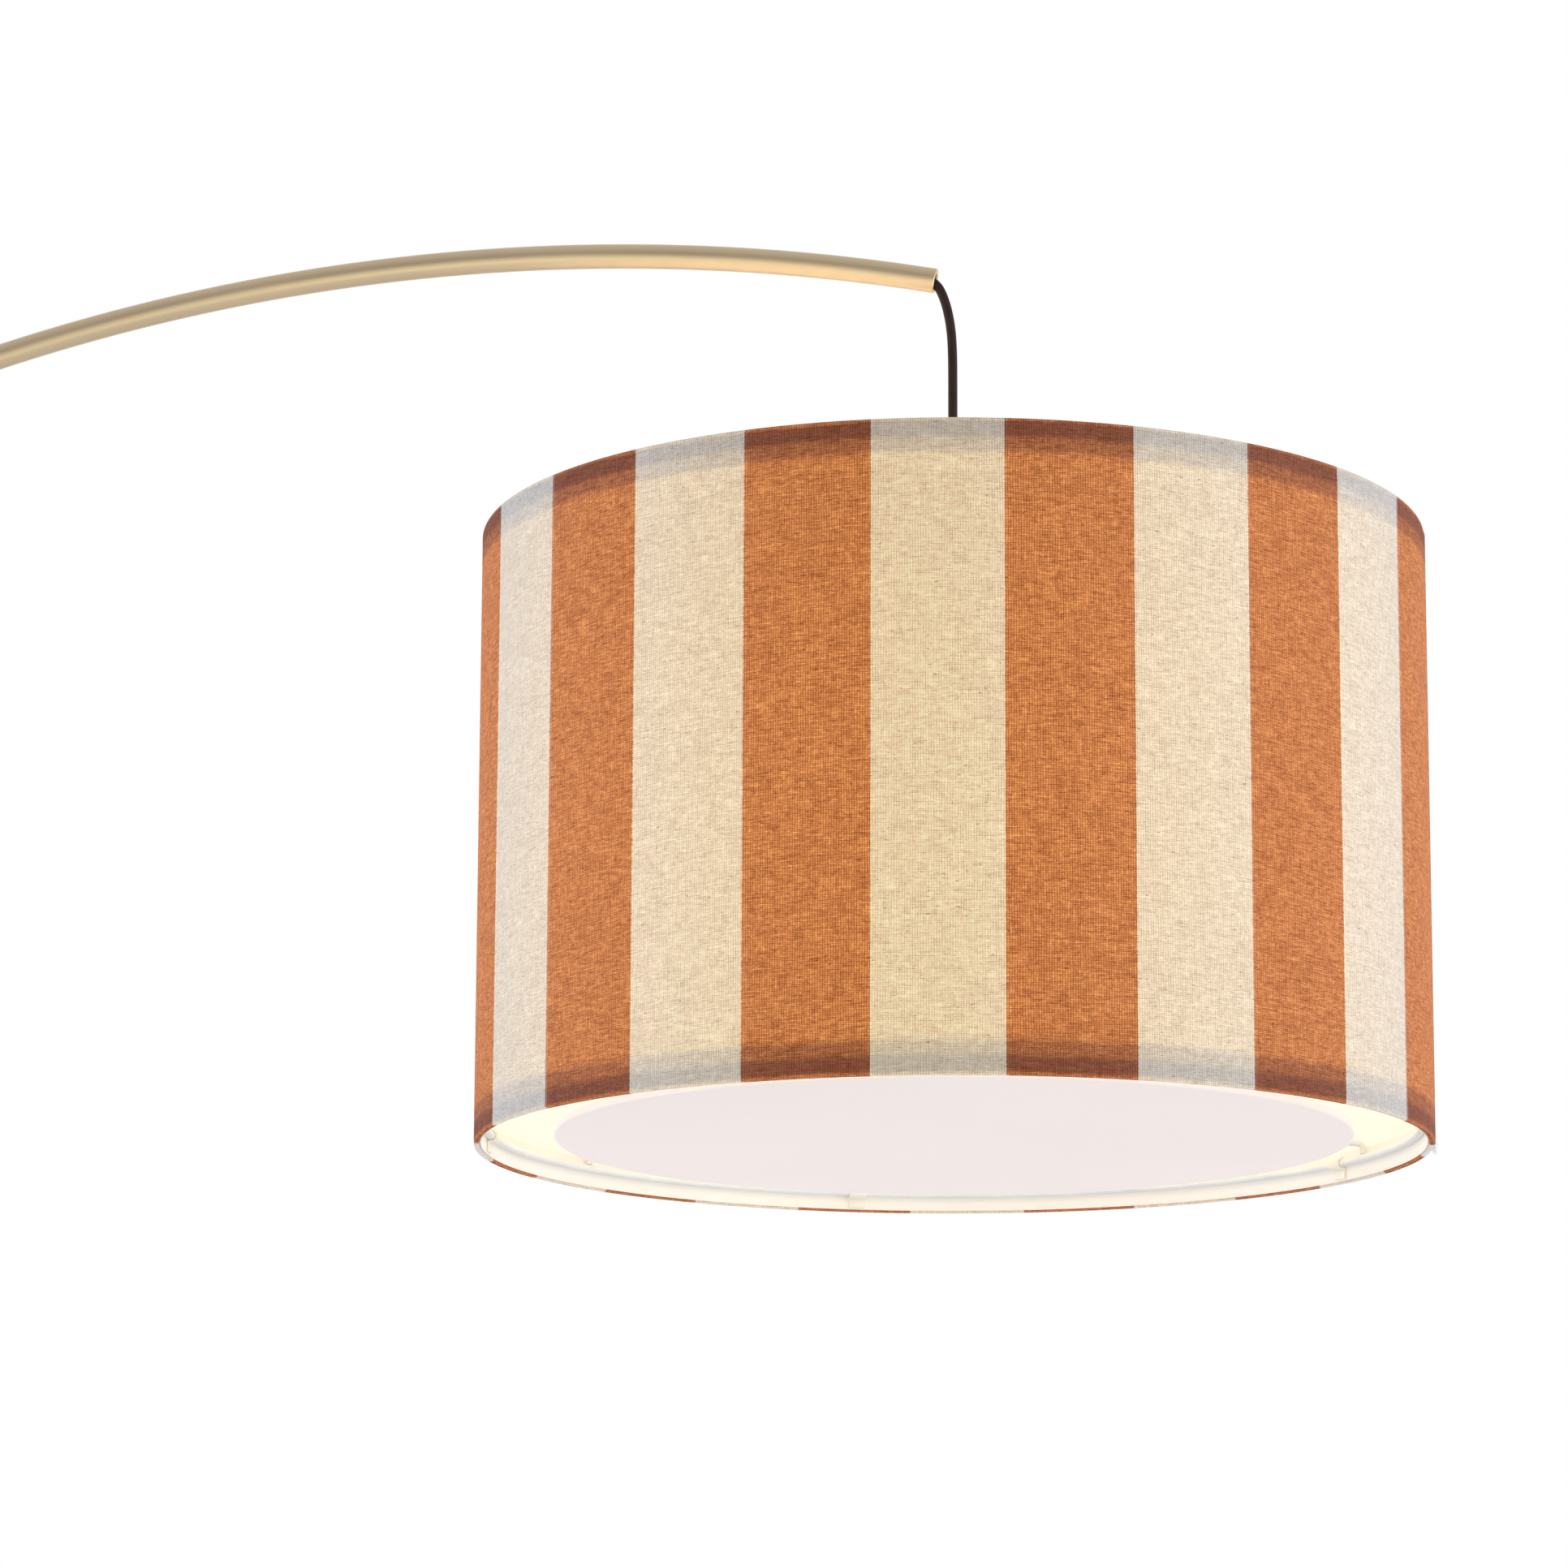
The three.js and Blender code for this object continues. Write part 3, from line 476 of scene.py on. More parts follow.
def striped_linen(name, sheen, sheen_tint):
    """Striped cloth that the bulb lights from inside."""
    finish = Linen(name)
    weave = finish.weave()
    level_yarn = finish.along_level(finish.weft_line, 120)
    tone = finish.tone(weave, level_yarn)
    finish.set("Base Color", finish.dyed(tone, CREAM_CLOTH, RUST_CLOTH, 1.0))
    glow = finish.dyed(tone, CREAM_GLOW, RUST_GLOW, 1.7)
    finish.set("Emission Color", finish.tinted(glow, finish.light_through()))
    finish.set("Emission Strength", 1.0)
    finish.set("Sheen Weight", sheen)
    finish.set("Sheen Roughness", 0.45)
    finish.set("Sheen Tint", sheen_tint)
    finish.bump(finish.add(weave, finish.times(level_yarn, 0.8)), 0.35, 0.0003)
    return finish.material


def lining(name, colour, glow, strength):
    """Smooth white lining cloth that the bulb lights."""
    finish = Finish(name, Roughness=0.7, Specular_IOR_Level=0.3)
    place = finish.place()
    threads = finish.noise(finish.scaled(place, 1, 1, 2.2), 900, 2)
    cloud = finish.noise(place, 14, 3)
    level = finish.drifting(cloud, threads, 0.97, 1.02, 0.02)
    finish.set("Base Color", finish.tinted(colour, level))
    finish.set("Emission Color", finish.tinted(glow, level))
    finish.set("Emission Strength", strength)
    finish.bump(threads, 0.15, 0.0002)
    return finish.material


def opal(name, colour, glow, strength, roughness):
    """Milky sheet or glass, lit from behind with a soft drift in brightness."""
    finish = Finish(name, Roughness=roughness, Specular_IOR_Level=0.4)
    place = finish.place()
    cloud = finish.noise(place, 6, 2)
    mist = finish.noise(place, 220, 2)
    level = finish.drifting(cloud, mist, 0.985, 1.01, 0.006)
    finish.set("Base Color", finish.tinted(colour, level))
    finish.set("Emission Color", finish.tinted(glow, level))
    finish.set("Emission Strength", strength)
    finish.bump(mist, 0.04, 0.0003)
    return finish.material


CHAMPAGNE = grained_metal("champagne_metal", (0.86, 0.665, 0.415), 0.44, grain=0.02, relief=0.004, coat=1.0)
STEEL = grained_metal("zinc_steel", (0.62, 0.62, 0.63), 0.36, grain=0.1)
BRASS = grained_metal("brass", (0.78, 0.58, 0.27), 0.3)
IRON = cast_iron()
PAD_RUBBER = ribbed_rubber()
SHEATH = cord_sheath()
BUSH_RUBBER = moulded("bush_rubber", (0.02, 0.019, 0.018), 0.75)
BLACK_PLASTIC = moulded("black_plastic", (0.022, 0.021, 0.02), 0.42)
# Nylon with a painted glow: its warm emission stands in for the bulb's light falling on it
NYLON_PAINTED_GLOW = moulded(
    "natural_nylon", (0.86, 0.82, 0.7), 0.45, Emission_Color=(1.0, 0.86, 0.66), Emission_Strength=0.13
)
WHITE_WIRE = moulded("white_powder_coat", (0.95, 0.935, 0.9), 0.4, texture=0.15, scale=1600)
CREAM_LINEN = striped_linen("cream_linen", 1.0, (0.96, 0.97, 1.0))
RUST_LINEN = striped_linen("rust_linen", 0.08, (0.8, 0.42, 0.34))
THREAD = moulded("linen_thread", (0.95, 0.93, 0.9), 0.85, Specular_IOR_Level=0.2)
LINING = lining("white_lining", (0.86, 0.83, 0.77), (1.0, 0.88, 0.70), 0.26)
TAPE = lining("hem_tape", (0.87, 0.83, 0.76), (1.0, 0.87, 0.71), 0.15)
DIFFUSER = opal("opal_acrylic", (0.60, 0.575, 0.565), (1.0, 0.82, 0.74), 0.42, 0.35)
BULB_GLASS = opal("opal_glass", (0.9, 0.88, 0.84), (1.0, 0.88, 0.68), 14.0, 0.3)


# Mesh helpers


def corner_curve(before, corner, after, steps):
    """Points on the curve that cuts a corner."""
    shares = [step / steps for step in range(steps + 1)]
    return [(1 - t) ** 2 * before + 2 * t * (1 - t) * corner + t * t * after for t in shares]


def circle(sides):
    """The cosine and sine of each corner's turn."""
    turns = [2 * math.pi * side / sides for side in range(sides)]
    return [(math.cos(turn), math.sin(turn)) for turn in turns]


def filleted(points, steps=5):
    """A closed outline's corners, rounded where a corner gives a third number, its reach."""
    made = []
    count = len(points)
    for index, point in enumerate(points):
        corner = Vector(point[:2])
        if len(point) == 2:
            made.append(tuple(corner))
            continue
        before = Vector(points[index - 1][:2])
        after = Vector(points[(index + 1) % count][:2])
        start = corner + (before - corner).normalized() * point[2]
        end = corner + (after - corner).normalized() * point[2]
        made += [tuple(place) for place in corner_curve(start, corner, end, steps)]
    return made


def mesh_piece(name, vertices, faces, *materials, sharp=35, flat=None):
    """A smooth object from points and faces. flat has each point's place on the flat cloth."""
    mesh = bpy.data.meshes.new(name)
    mesh.from_pydata([tuple(v) for v in vertices], [], faces)
    if flat:
        layer = mesh.uv_layers.new(name="cloth")
        for loop in mesh.loops:
            layer.data[loop.index].uv = flat[loop.vertex_index]
    work = bmesh.new()
    work.from_mesh(mesh)
    bmesh.ops.remove_doubles(work, verts=work.verts, dist=1e-7)
    if flat:
        bmesh.ops.dissolve_degenerate(work, edges=work.edges, dist=1e-7)
    bmesh.ops.recalc_face_normals(work, faces=work.faces)
    work.to_mesh(mesh)
    work.free()
    for material in materials:
        mesh.materials.append(material)
    mesh.shade_smooth()
    mesh.set_sharp_from_angle(angle=math.radians(sharp))
    made = bpy.data.objects.new(name, mesh)
    bpy.context.scene.collection.objects.link(made)
    return made


def upright(x=0.0, z=0.0):
    """The spine of a turned piece that stands at x, with its heights from z."""
    return lambda height: (Vector((x, 0, z + height)), X_AXIS, Y_AXIS)


def level_spine(z):
    """The spine of a turned piece that lies along X."""
    return lambda distance: (Vector((distance, 0, z)), Y_AXIS, Z_AXIS)


def arm_spine(distance):
    """The arm's centreline by distance from the arch's foot: straight below zero, then one long arc."""
    if distance < 0:
        return Vector((0, 0, ARC_CENTRE_Z + distance)), X_AXIS, Y_AXIS
    turn = distance / ARC_RADIUS
    centre = Vector((ARC_RADIUS * (1 - math.cos(turn)), 0, ARC_CENTRE_Z + ARC_RADIUS * math.sin(turn)))
    return centre, Vector((math.cos(turn), 0, -math.sin(turn))), Y_AXIS


def along(points, angle=0.0, x=0.0, z=0.0):
    """The spine through [across, up] points in an upright plane, turned about the axis at x."""
    spin = Matrix.Rotation(angle, 3, "Z")
    places = [Vector((x, 0, z)) + spin @ Vector((across, 0, up)) for across, up in points]
    side = spin @ Y_AXIS

    def spine(index):
        index = int(index)
        ahead = places[min(index + 1, len(places) - 1)]
        behind = places[max(index - 1, 0)]
        return places[index], side.cross((ahead - behind).normalized()), side

    return spine


def turned(name, outline, spine, material, sides=96, sharp=35):
    """Rings round a spine, closed on themselves or on the axis. The outline has distances and radii."""
    vertices = []
    rings = []
    for distance, radius in outline:
        centre, first, second = spine(distance)
        start = len(vertices)
        if radius < 1e-6:
            vertices.append(centre)
            rings.append([start] * sides)
            continue
        for cosine, sine in circle(sides):
            vertices.append(centre + radius * (cosine * first + sine * second))
        rings.append(list(range(start, start + sides)))
    pairs = list(zip(rings, rings[1:]))
    if outline[0][1] > 1e-6 or outline[-1][1] > 1e-6:
        pairs.append((rings[-1], rings[0]))
    faces = []
    for near, far in pairs:
        for side in range(sides):
            after = (side + 1) % sides
            corners = [near[side], near[after], far[after], far[side]]
            face = sorted(set(corners), key=corners.index)
            if len(face) > 2:
                faces.append(face)
    return mesh_piece(name, vertices, faces, material, sharp=sharp)


def wire(name, spine, count, radius, material, sides=20):
    """Solid round wire through a spine's points, with domed ends."""
    outline = [(0, 0.0), (0, radius * 0.7), (0, radius)]
    outline += [(index, radius) for index in range(1, count - 1)]
    outline += [(count - 1, radius), (count - 1, radius * 0.7), (count - 1, 0.0)]
    return turned(name, outline, spine, material, sides, sharp=60)


def stretch(start, end, radius, step=0.012):
    """Even points along a spine at one radius."""
    count = max(1, math.ceil(abs(end - start) / step))
    return [(start + (end - start) * index / count, radius) for index in range(count + 1)]


def hoop_outline(ring_radius, wire_radius, height, sides=20):
    turns = circle(sides)
    return [(height + wire_radius * sine, ring_radius + wire_radius * cosine) for cosine, sine in turns]


def prism(name, outline, width, place, material, bevel=0.0003, sharp=40):
    """A closed [across, up] outline in an upright plane, given a width and eased edges, then placed."""
    half = width / 2
    count = len(outline)
    vertices = [Vector((a, side * half, b)) for side in (-1, 1) for a, b in outline]
    faces = [tuple(range(count)), tuple(range(2 * count - 1, count - 1, -1))]
    for index in range(count):
        after = (index + 1) % count
        faces.append((index, after, count + after, count + index))
    made = mesh_piece(name, vertices, faces, material, sharp=sharp)
    ease(made, bevel, sharp)
    made.data.transform(place)
    return made


def apply_modifiers(piece):
    """Turns a piece into the mesh that its modifiers make."""
    graph = bpy.context.evaluated_depsgraph_get()
    before = piece.data
    piece.data = bpy.data.meshes.new_from_object(piece.evaluated_get(graph))
    piece.modifiers.clear()
    piece.data.name = piece.name
    bpy.data.meshes.remove(before)


def ease(piece, width, sharp):
    """Rounds the piece's sharp edges a little."""
    bevel = piece.modifiers.new("ease", "BEVEL")
    bevel.width = width
    bevel.segments = 2
    bevel.limit_method = "ANGLE"
    bevel.angle_limit = math.radians(sharp)
    apply_modifiers(piece)
    piece.data.shade_smooth()
    piece.data.set_sharp_from_angle(angle=math.radians(sharp))


def cut(piece, tool):
    """Takes the tool out of the piece, and removes the tool."""
    change = piece.modifiers.new("cut", "BOOLEAN")
    change.operation = "DIFFERENCE"
    change.solver = "EXACT"
    change.object = tool
    bpy.context.view_layer.update()
    apply_modifiers(piece)
    mesh = tool.data
    bpy.data.objects.remove(tool)
    bpy.data.meshes.remove(mesh)
    piece.data.set_sharp_from_angle(angle=math.radians(35))


def rod(name, start, end, radius, spine, sides=32):
    return turned(name, [(start, 0), (start, radius), (end, radius), (end, 0)], spine, STEEL, sides)


def done(piece, body, slot, *nodes):
    """The piece rides on a body and stands for CAD nodes, which it hides. The slot is not used."""
    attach(piece, body)
    if nodes:
        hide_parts(*nodes)
    return piece


# Hanging flex: places are (across, up) from the centre of the arm's mouth, in metres.
CORD_ROUTE = [
    (-0.0134, 0.0026), (-0.0104, 0.00205), (-0.0076, 0.0015), (-0.005, 0.0009), (-0.0026, 0.0),
    (-0.0004, -0.0016), (0.0015, -0.0038), (0.00295, -0.0066), (0.0042, -0.0098), (0.0053, -0.0133),
    (0.0062, -0.017), (0.007, -0.021), (0.00765, -0.0255), (0.00815, -0.0305), (0.0085, -0.037),
    (0.00867, -0.045), (0.0087, -0.055), (0.0087, -0.067), (0.0087, -0.080), (0.0087, -0.093),
    (0.0087, -0.105),
]


def smooth_route(points, steps=6):
    """A Catmull-Rom curve through the points."""
    ends = [2 * points[0] - points[1], *points, 2 * points[-1] - points[-2]]
    made = []
    for a, b, c, d in zip(ends, ends[1:], ends[2:], ends[3:]):
        for step in range(steps):
            t = step / steps
            curve = 2 * b + (c - a) * t + (2 * a - 5 * b + 4 * c - d) * t * t
            made.append((curve + (3 * b - a - 3 * c + d) * t**3) / 2)
    return [*made, points[-1]]


def pendant_cord():
    cord_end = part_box("pendant_cord")[0].z
    corners = [Vector((TIP_X + across, TIP_Z + up)) for across, up in CORD_ROUTE]
    corners.append(Vector((SHADE_X, cord_end)))
    route = smooth_route(corners)
    spine = along([tuple(point) for point in route])
    radius = CORD_DIAMETER / 2
    outline = [(0, 0), (0, radius)]
    outline += [(index, radius) for index in range(1, len(route) - 1)]
    outline += [(len(route) - 1, radius), (len(route) - 1, 0)]
    cord = turned("pendant_flex", outline, spine, SHEATH, 28)
    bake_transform(cord)
    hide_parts("pendant_cord")


# Base and pole


def base_cover():
    edge = BASE_RADIUS
    low, high = heights("base_cover")
    wall = 0.0012
    bore = 0.0082
    outline = filleted([
        (low, edge - wall), (low, edge, 0.0003), (high, edge, 0.006), (high, bore, 0.0003),
        (high - wall, bore), (high - wall, edge - wall, 0.0048),
    ], steps=10)
    cover = turned("base_cover_spun", outline, upright(), CHAMPAGNE, 192)
    gland_z = sum(heights("cord_gland")) / 2
    cut(cover, rod("gland_hole", -edge - 0.01, -edge + 0.01, 0.0053, level_spine(gland_z)))
    done(cover, "base", "champagne_metal", "base_cover")


def pole_foot():
    low, high = heights("pole_foot")
    inner = POLE_RADIUS + GAP
    outline = filleted([
        (low, inner), (low, 0.021, 0.0004), (low + 0.003, 0.021, 0.001),
        (low + 0.0055, 0.0165, 0.002), (low + 0.0095, 0.0132, 0.003), (high, 0.0114, 0.0006),
        (high, inner),
    ])
    done(turned("pole_foot_cup", outline, upright(), CHAMPAGNE), "base", "champagne_metal", "pole_foot")


def cord_gland():
    gland_low, gland_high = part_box("cord_gland")
    z = (gland_low.z + gland_high.z) / 2
    wall = -BASE_RADIUS
    bore = 0.003
    outline = filleted([
        (gland_low.x, bore, 0.0003), (gland_low.x, 0.007, 0.0009), (wall - GAP, 0.007, 0.0002),
        (wall - GAP, 0.005), (gland_high.x, 0.005, 0.0005), (gland_high.x, bore),
    ])
    bush = turned("cord_gland_bush", outline, level_spine(z), BLACK_PLASTIC, 48)
    done(bush, "base", "black_plastic", "cord_gland")


def pole_tube(node):
    low, high = heights(node)
    bore = POLE_RADIUS - 0.0013
    outline = filleted([
        (low, bore, 0.0002), (low, POLE_RADIUS, 0.0004), (high, POLE_RADIUS, 0.0004), (high, bore, 0.0002),
    ])
    tube = turned(f"{node}_tube", outline, upright(), CHAMPAGNE, 80)
    done(tube, "base", "champagne_metal", node)


def pole_coupler():
    low, high = heights("pole_coupler")
    ring_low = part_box("pole_lower")[1].z + GAP
    ring_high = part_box("pole_upper")[0].z - GAP
    ring = POLE_RADIUS + 0.001
    plug = POLE_RADIUS - 0.0016
    bore = 0.0063
    outline = filleted([
        (low, bore), (low, plug, 0.0005), (ring_low, plug), (ring_low, ring, 0.0008),
        (ring_high, ring, 0.0008), (ring_high, plug), (high, plug, 0.0005), (high, bore),
    ])
    coupler = turned("pole_coupler_ring", outline, upright(), CHAMPAGNE, 80)
    done(coupler, "base", "champagne_metal", "pole_coupler")


def swivel_collar():
    low, high = heights("swivel_collar")
    outer = 0.0125
    skirt = POLE_RADIUS + GAP
    bore = ARM_RADIUS + GAP
    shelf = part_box("pole_upper")[1].z + GAP
    outline = filleted([
        (low, skirt, 0.0002), (low, outer, 0.0009), (high, outer, 0.004), (high, bore, 0.0004),
        (shelf, bore), (shelf, skirt),
    ], steps=8)
    collar = turned("swivel_collar_cap", outline, upright(), CHAMPAGNE)
    screw_low, screw_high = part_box("collar_screw")
    screw_z = (screw_low.z + screw_high.z) / 2
    cut(collar, rod("screw_hole", -outer - 0.002, 0.0, 0.0023, level_spine(screw_z)))
    done(collar, "base", "champagne_metal", "swivel_collar")
    outline = filleted([
        (screw_low.x, 0), (screw_low.x, 0.002, 0.0004), (screw_high.x, 0.002, 0.0003), (screw_high.x, 0),
    ])
    screw = turned("collar_grub_screw", outline, level_spine(screw_z), STEEL, 36)
    cut(screw, rod("hex_socket", screw_low.x - 0.001, screw_low.x + 0.0022, 0.001, level_spine(screw_z), 6))
    done(screw, "base", "plain_steel", "collar_screw")


# Arm


def arm_tube(name, node, start, end):
    """A length of tube. Its far end is eased, and the last one's rounded lip is the arm's mouth."""
    bore = ARM_RADIUS - ARM_WALL
    lip = 0.0005
    outer = stretch(start + lip, end - lip, ARM_RADIUS)
    inner = stretch(end - lip, start + lip, bore)
    round_end = [(end - 0.00015, ARM_RADIUS - 0.00015), (end, ARM_RADIUS - lip), (end, bore + 0.0004)]
    round_start = [(start, bore + 0.0003), (start, ARM_RADIUS - 0.0003)]
    outline = [*outer, *round_end, *inner, *round_start]
    done(turned(name, outline, arm_spine, CHAMPAGNE, 72, sharp=50), "arm", "champagne_metal", node)


def mouth_bush():
    """The rubber bush inside the arm's mouth that the flex comes out of."""
    front = ARM_LENGTH - 0.014
    outer = ARM_RADIUS - ARM_WALL - GAP
    bore = CORD_DIAMETER / 2 + GAP
    outline = filleted([
        (front - 0.016, bore), (front - 0.016, outer), (front, outer, 0.0006), (front, bore, 0.0006),
    ])
    done(turned("mouth_bush_ring", outline, arm_spine, BUSH_RUBBER, 48), "arm", "bush_rubber", "mouth_bush")


# Lampholder and bulb. Heights are from the shade's top edge.


def holder_parts():
    """The lampholder. Its grip is hollowed so that the holder can tilt on the end of the cord."""
    axis = upright(SHADE_X, SHADE_TOP)
    cord_bore = CORD_DIAMETER / 2 + GAP
    grip_top, grip_floor = 0.026, 0.0141
    grip = filleted([
        (0.0099, 0), (0.0099, 0.0075, 0.0004), (0.0129, 0.0075, 0.0008), (0.0145, 0.0062, 0.0008),
        (grip_top, 0.0041, 0.0006), (grip_top, cord_bore, 0.0003),
        (grip_floor, cord_bore + (grip_top - grip_floor) * math.tan(HOLDER_TILT) + GAP),
        (grip_floor, 0),
    ])
    done(turned("cord_grip_cone", grip, axis, BLACK_PLASTIC, 64), "lampholder", "black_plastic", "cord_grip")
    cap = filleted([
        (-0.0184, 0.0180), (-0.0184, 0.0220, 0.0008), (-0.0035, 0.0220, 0.004),
        (0.0040, 0.0195, 0.004), (0.0096, 0.0120, 0.003), (0.0096, 0.0035, 0.0004),
        (0.0076, 0.0035), (0.0076, 0.0110, 0.003), (0.0018, 0.0180, 0.004),
    ])
    done(turned("holder_cap_dome", cap, axis, BLACK_PLASTIC), "lampholder", "black_plastic", "holder_cap")
    body = filleted([
        (-0.0640, 0.0166), (-0.0640, 0.0193, 0.0008), (-0.0217, 0.0193), (-0.0217, 0.0230, 0.0006),
        (-0.0187, 0.0230, 0.0006), (-0.0187, 0.0166),
        (-0.0290, 0.0166), (-0.0290, 0.0030), (-0.0330, 0.0030), (-0.0330, 0.0166),
    ])
    done(turned("holder_body_shell", body, axis, BLACK_PLASTIC), "lampholder", "black_plastic", "holder_body")
    ring = filleted([
        (-0.0323, 0.0196), (-0.0323, 0.0262, 0.001), (-0.0243, 0.0270, 0.001), (-0.0243, 0.0196),
    ])
    nut = turned("holder_ring_nut", ring, axis, BLACK_PLASTIC, 144, sharp=60)
    knurl(nut, SHADE_X, 0.0235, 36, 0.0004)
    done(nut, "lampholder", "black_plastic", "holder_ring")


def knurl(piece, x, inside, count, depth):
    """Shallow upright flutes round the outside of a turned ring."""
    for vertex in piece.data.vertices:
        reach = math.hypot(vertex.co.x - x, vertex.co.y)
        if reach < inside:
            continue
        turn = math.atan2(vertex.co.y, vertex.co.x - x)
        share = 1 - depth * (0.5 + 0.5 * math.cos(count * turn)) / reach
        vertex.co.x = x + (vertex.co.x - x) * share
        vertex.co.y *= share


def bulb():
    axis = upright(SHADE_X, SHADE_TOP)
    thread = [(-0.060, 0.0), (-0.060, 0.0125)]
    turns = 6
    for index in range(turns * 8 + 1):
        height = -0.0592 + index * 0.0175 / (turns * 8)
        thread.append((height, 0.0127 + 0.0004 * math.cos(2 * math.pi * index / 8)))
    thread += [(-0.0400, 0.0122), (-0.0370, 0.006), (-0.036, 0.0045), (-0.036, 0.0)]
    done(turned("bulb_cap_thread", thread, axis, STEEL, 64), "lampholder", "plain_steel", "bulb_cap")
    radius, centre = 0.030, -0.110
    glass = []
    for step in range(29):
        turn = math.radians(step * 5)
        glass.append((centre - radius * math.cos(turn), radius * math.sin(turn)))
    glass += [(-0.0800, 0.0165), (-0.0740, 0.0145), (-0.0680, 0.0138), (-0.0603, 0.0136), (-0.0603, 0)]
    done(turned("bulb_glass", glass, axis, BULB_GLASS, 72), "lampholder", "opal_glass", "bulb_globe")


# Shade. Heights are from its lower edge.

CLOTH_WALL = 0.0008
FLAP_OUTER = SHADE_RADIUS - 0.0020
HEM = 0.014  # cloth turned in over each edge
ROUND_SIDES = 288
IN_SHADE = upright(SHADE_X, SHADE_BOTTOM)


def shade_cloth():
    """The striped cloth: one wrap round the drum, folded in over the liner at both edges."""
    radius = SHADE_RADIUS
    high = SHADE_HEIGHT
    flap = FLAP_OUTER - CLOTH_WALL
    fold = 0.0011
    outline = filleted([
        (0, flap, fold), (0, radius, fold), (high, radius, fold), (high, flap, fold),
        (high - HEM, flap), (high - HEM, FLAP_OUTER), (high - CLOTH_WALL, FLAP_OUTER, 0.0003),
        (high - CLOTH_WALL, radius - CLOTH_WALL, 0.0003), (CLOTH_WALL, radius - CLOTH_WALL, 0.0003),
        (CLOTH_WALL, FLAP_OUTER, 0.0003), (HEM, FLAP_OUTER), (HEM, flap),
    ], steps=4)
    levels = []
    for (z, r), (z_next, r_next) in zip(outline, outline[1:] + outline[:1]):
        pieces = max(1, round(abs(z_next - z) / 0.012))
        levels += [(z + (z_next - z) * k / pieces, r + (r_next - r) * k / pieces) for k in range(pieces)]
    turns = [(2 * math.pi * side / ROUND_SIDES, 0.0) for side in range(ROUND_SIDES)]
    turns = [(turn, lift) for turn, lift in turns if turn < 2 * math.pi - LAP_TURN]
    turns += [(2 * math.pi - LAP_TURN * share, LAP_RISE) for share in (0.9, 0.6, 0.3, 0.0)]
    turns.append((2 * math.pi, 0.0))
    vertices, faces, places = [], [], []
    rows = len(levels)
    for turn, lift in turns:
        turn += SEAM_ANGLE
        for z, r in levels:
            if r > radius - CLOTH_WALL / 2:
                r += lift
            vertices.append((SHADE_X + r * math.cos(turn), r * math.sin(turn), SHADE_BOTTOM + z))
            places.append((SHADE_RADIUS * (turn - FIRST_STRIPE), z))
    for side in range(len(turns) - 1):
        for row in range(rows):
            after = (row + 1) % rows
            a, b = side * rows, (side + 1) * rows
            faces.append((a + row, b + row, b + after, a + after))
    cloth = mesh_piece("shade_cloth", vertices, faces, CREAM_LINEN, RUST_LINEN, sharp=50, flat=places)
    stripe = 2 * math.pi / STRIPE_COUNT
    for face in cloth.data.polygons:
        turn = math.atan2(face.center.y, face.center.x - SHADE_X)
        lapped = FIRST_STRIPE < turn < SEAM_ANGLE
        face.material_index = 1 if lapped else math.floor((turn - FIRST_STRIPE) / stripe) % 2
    done(cloth, "shade", "striped_fabric", "shade_fabric")
    return cloth


def seam_threads():
    """Raw threads that stick out of the cloth's cut end at the foot of the seam."""
    draw = random.Random(7)
    vertices, faces = [], []
    sides, steps = 5, 7
    for _ in range(18):
        turn = SEAM_ANGLE + math.radians(draw.uniform(-0.4, 7))
        spin = Matrix.Rotation(turn, 3, "Z")
        foot = Vector((SHADE_RADIUS, 0, draw.uniform(0.0002, 0.0028)))
        reach = draw.uniform(0.0025, 0.0055)
        out, sway, drop = draw.uniform(0.1, 0.5), draw.uniform(0.3, 0.9), draw.uniform(-0.9, 0.2)
        bend = draw.uniform(-0.6, 0.6)
        thickness = draw.uniform(0.00016, 0.0003)
        start = len(vertices)
        for step in range(steps):
            t = step / (steps - 1)
            lean = Vector((out * t, sway * t, (drop + bend * t) * t)) * reach
            for cosine, sine in circle(sides):
                ring = Vector((cosine, 0, sine)) * thickness * (1 - 0.6 * t)
                vertices.append(Vector((SHADE_X, 0, SHADE_BOTTOM)) + spin @ (foot + lean + ring))
        for step in range(steps - 1):
            for side in range(sides):
                after = (side + 1) % sides
                a, b = start + step * sides, start + (step + 1) * sides
                faces.append((a + side, a + after, b + after, b + side))
        faces.append(tuple(range(start, start + sides)))
        faces.append(tuple(range(start + steps * sides - 1, start + (steps - 1) * sides - 1, -1)))
    threads = mesh_piece("seam_threads", vertices, faces, THREAD, sharp=60)
    done(threads, "shade", "striped_fabric")
    return threads


def shade_liner():
    low, high = heights("shade_liner", SHADE_BOTTOM)
    outer = SHADE_RADIUS - 0.0011
    outline = filleted([(low, outer - 0.0006), (low, outer), (high, outer), (high, outer - 0.0006)])
    liner = turned("shade_liner_drum", outline, IN_SHADE, LINING, ROUND_SIDES)
    done(liner, "shade", "white_lining", "shade_liner")
    return liner


def hem_tape(node):
    low, high = heights(node, SHADE_BOTTOM)
    outer = SHADE_RADIUS - 0.0031
    inner = outer - 0.0005
    outline = filleted([
        (low, inner, 0.0002), (low, outer, 0.0002), (high, outer, 0.0002), (high, inner, 0.0002),
    ], steps=2)
    tape = turned(f"{node}_band", outline, IN_SHADE, TAPE, ROUND_SIDES)
    done(tape, "shade", "white_lining", node)
    return tape


RING_RADIUS = SHADE_RADIUS - 0.0059
LOWER_RING = 0.010
TOP_RING = SHADE_HEIGHT - 0.010


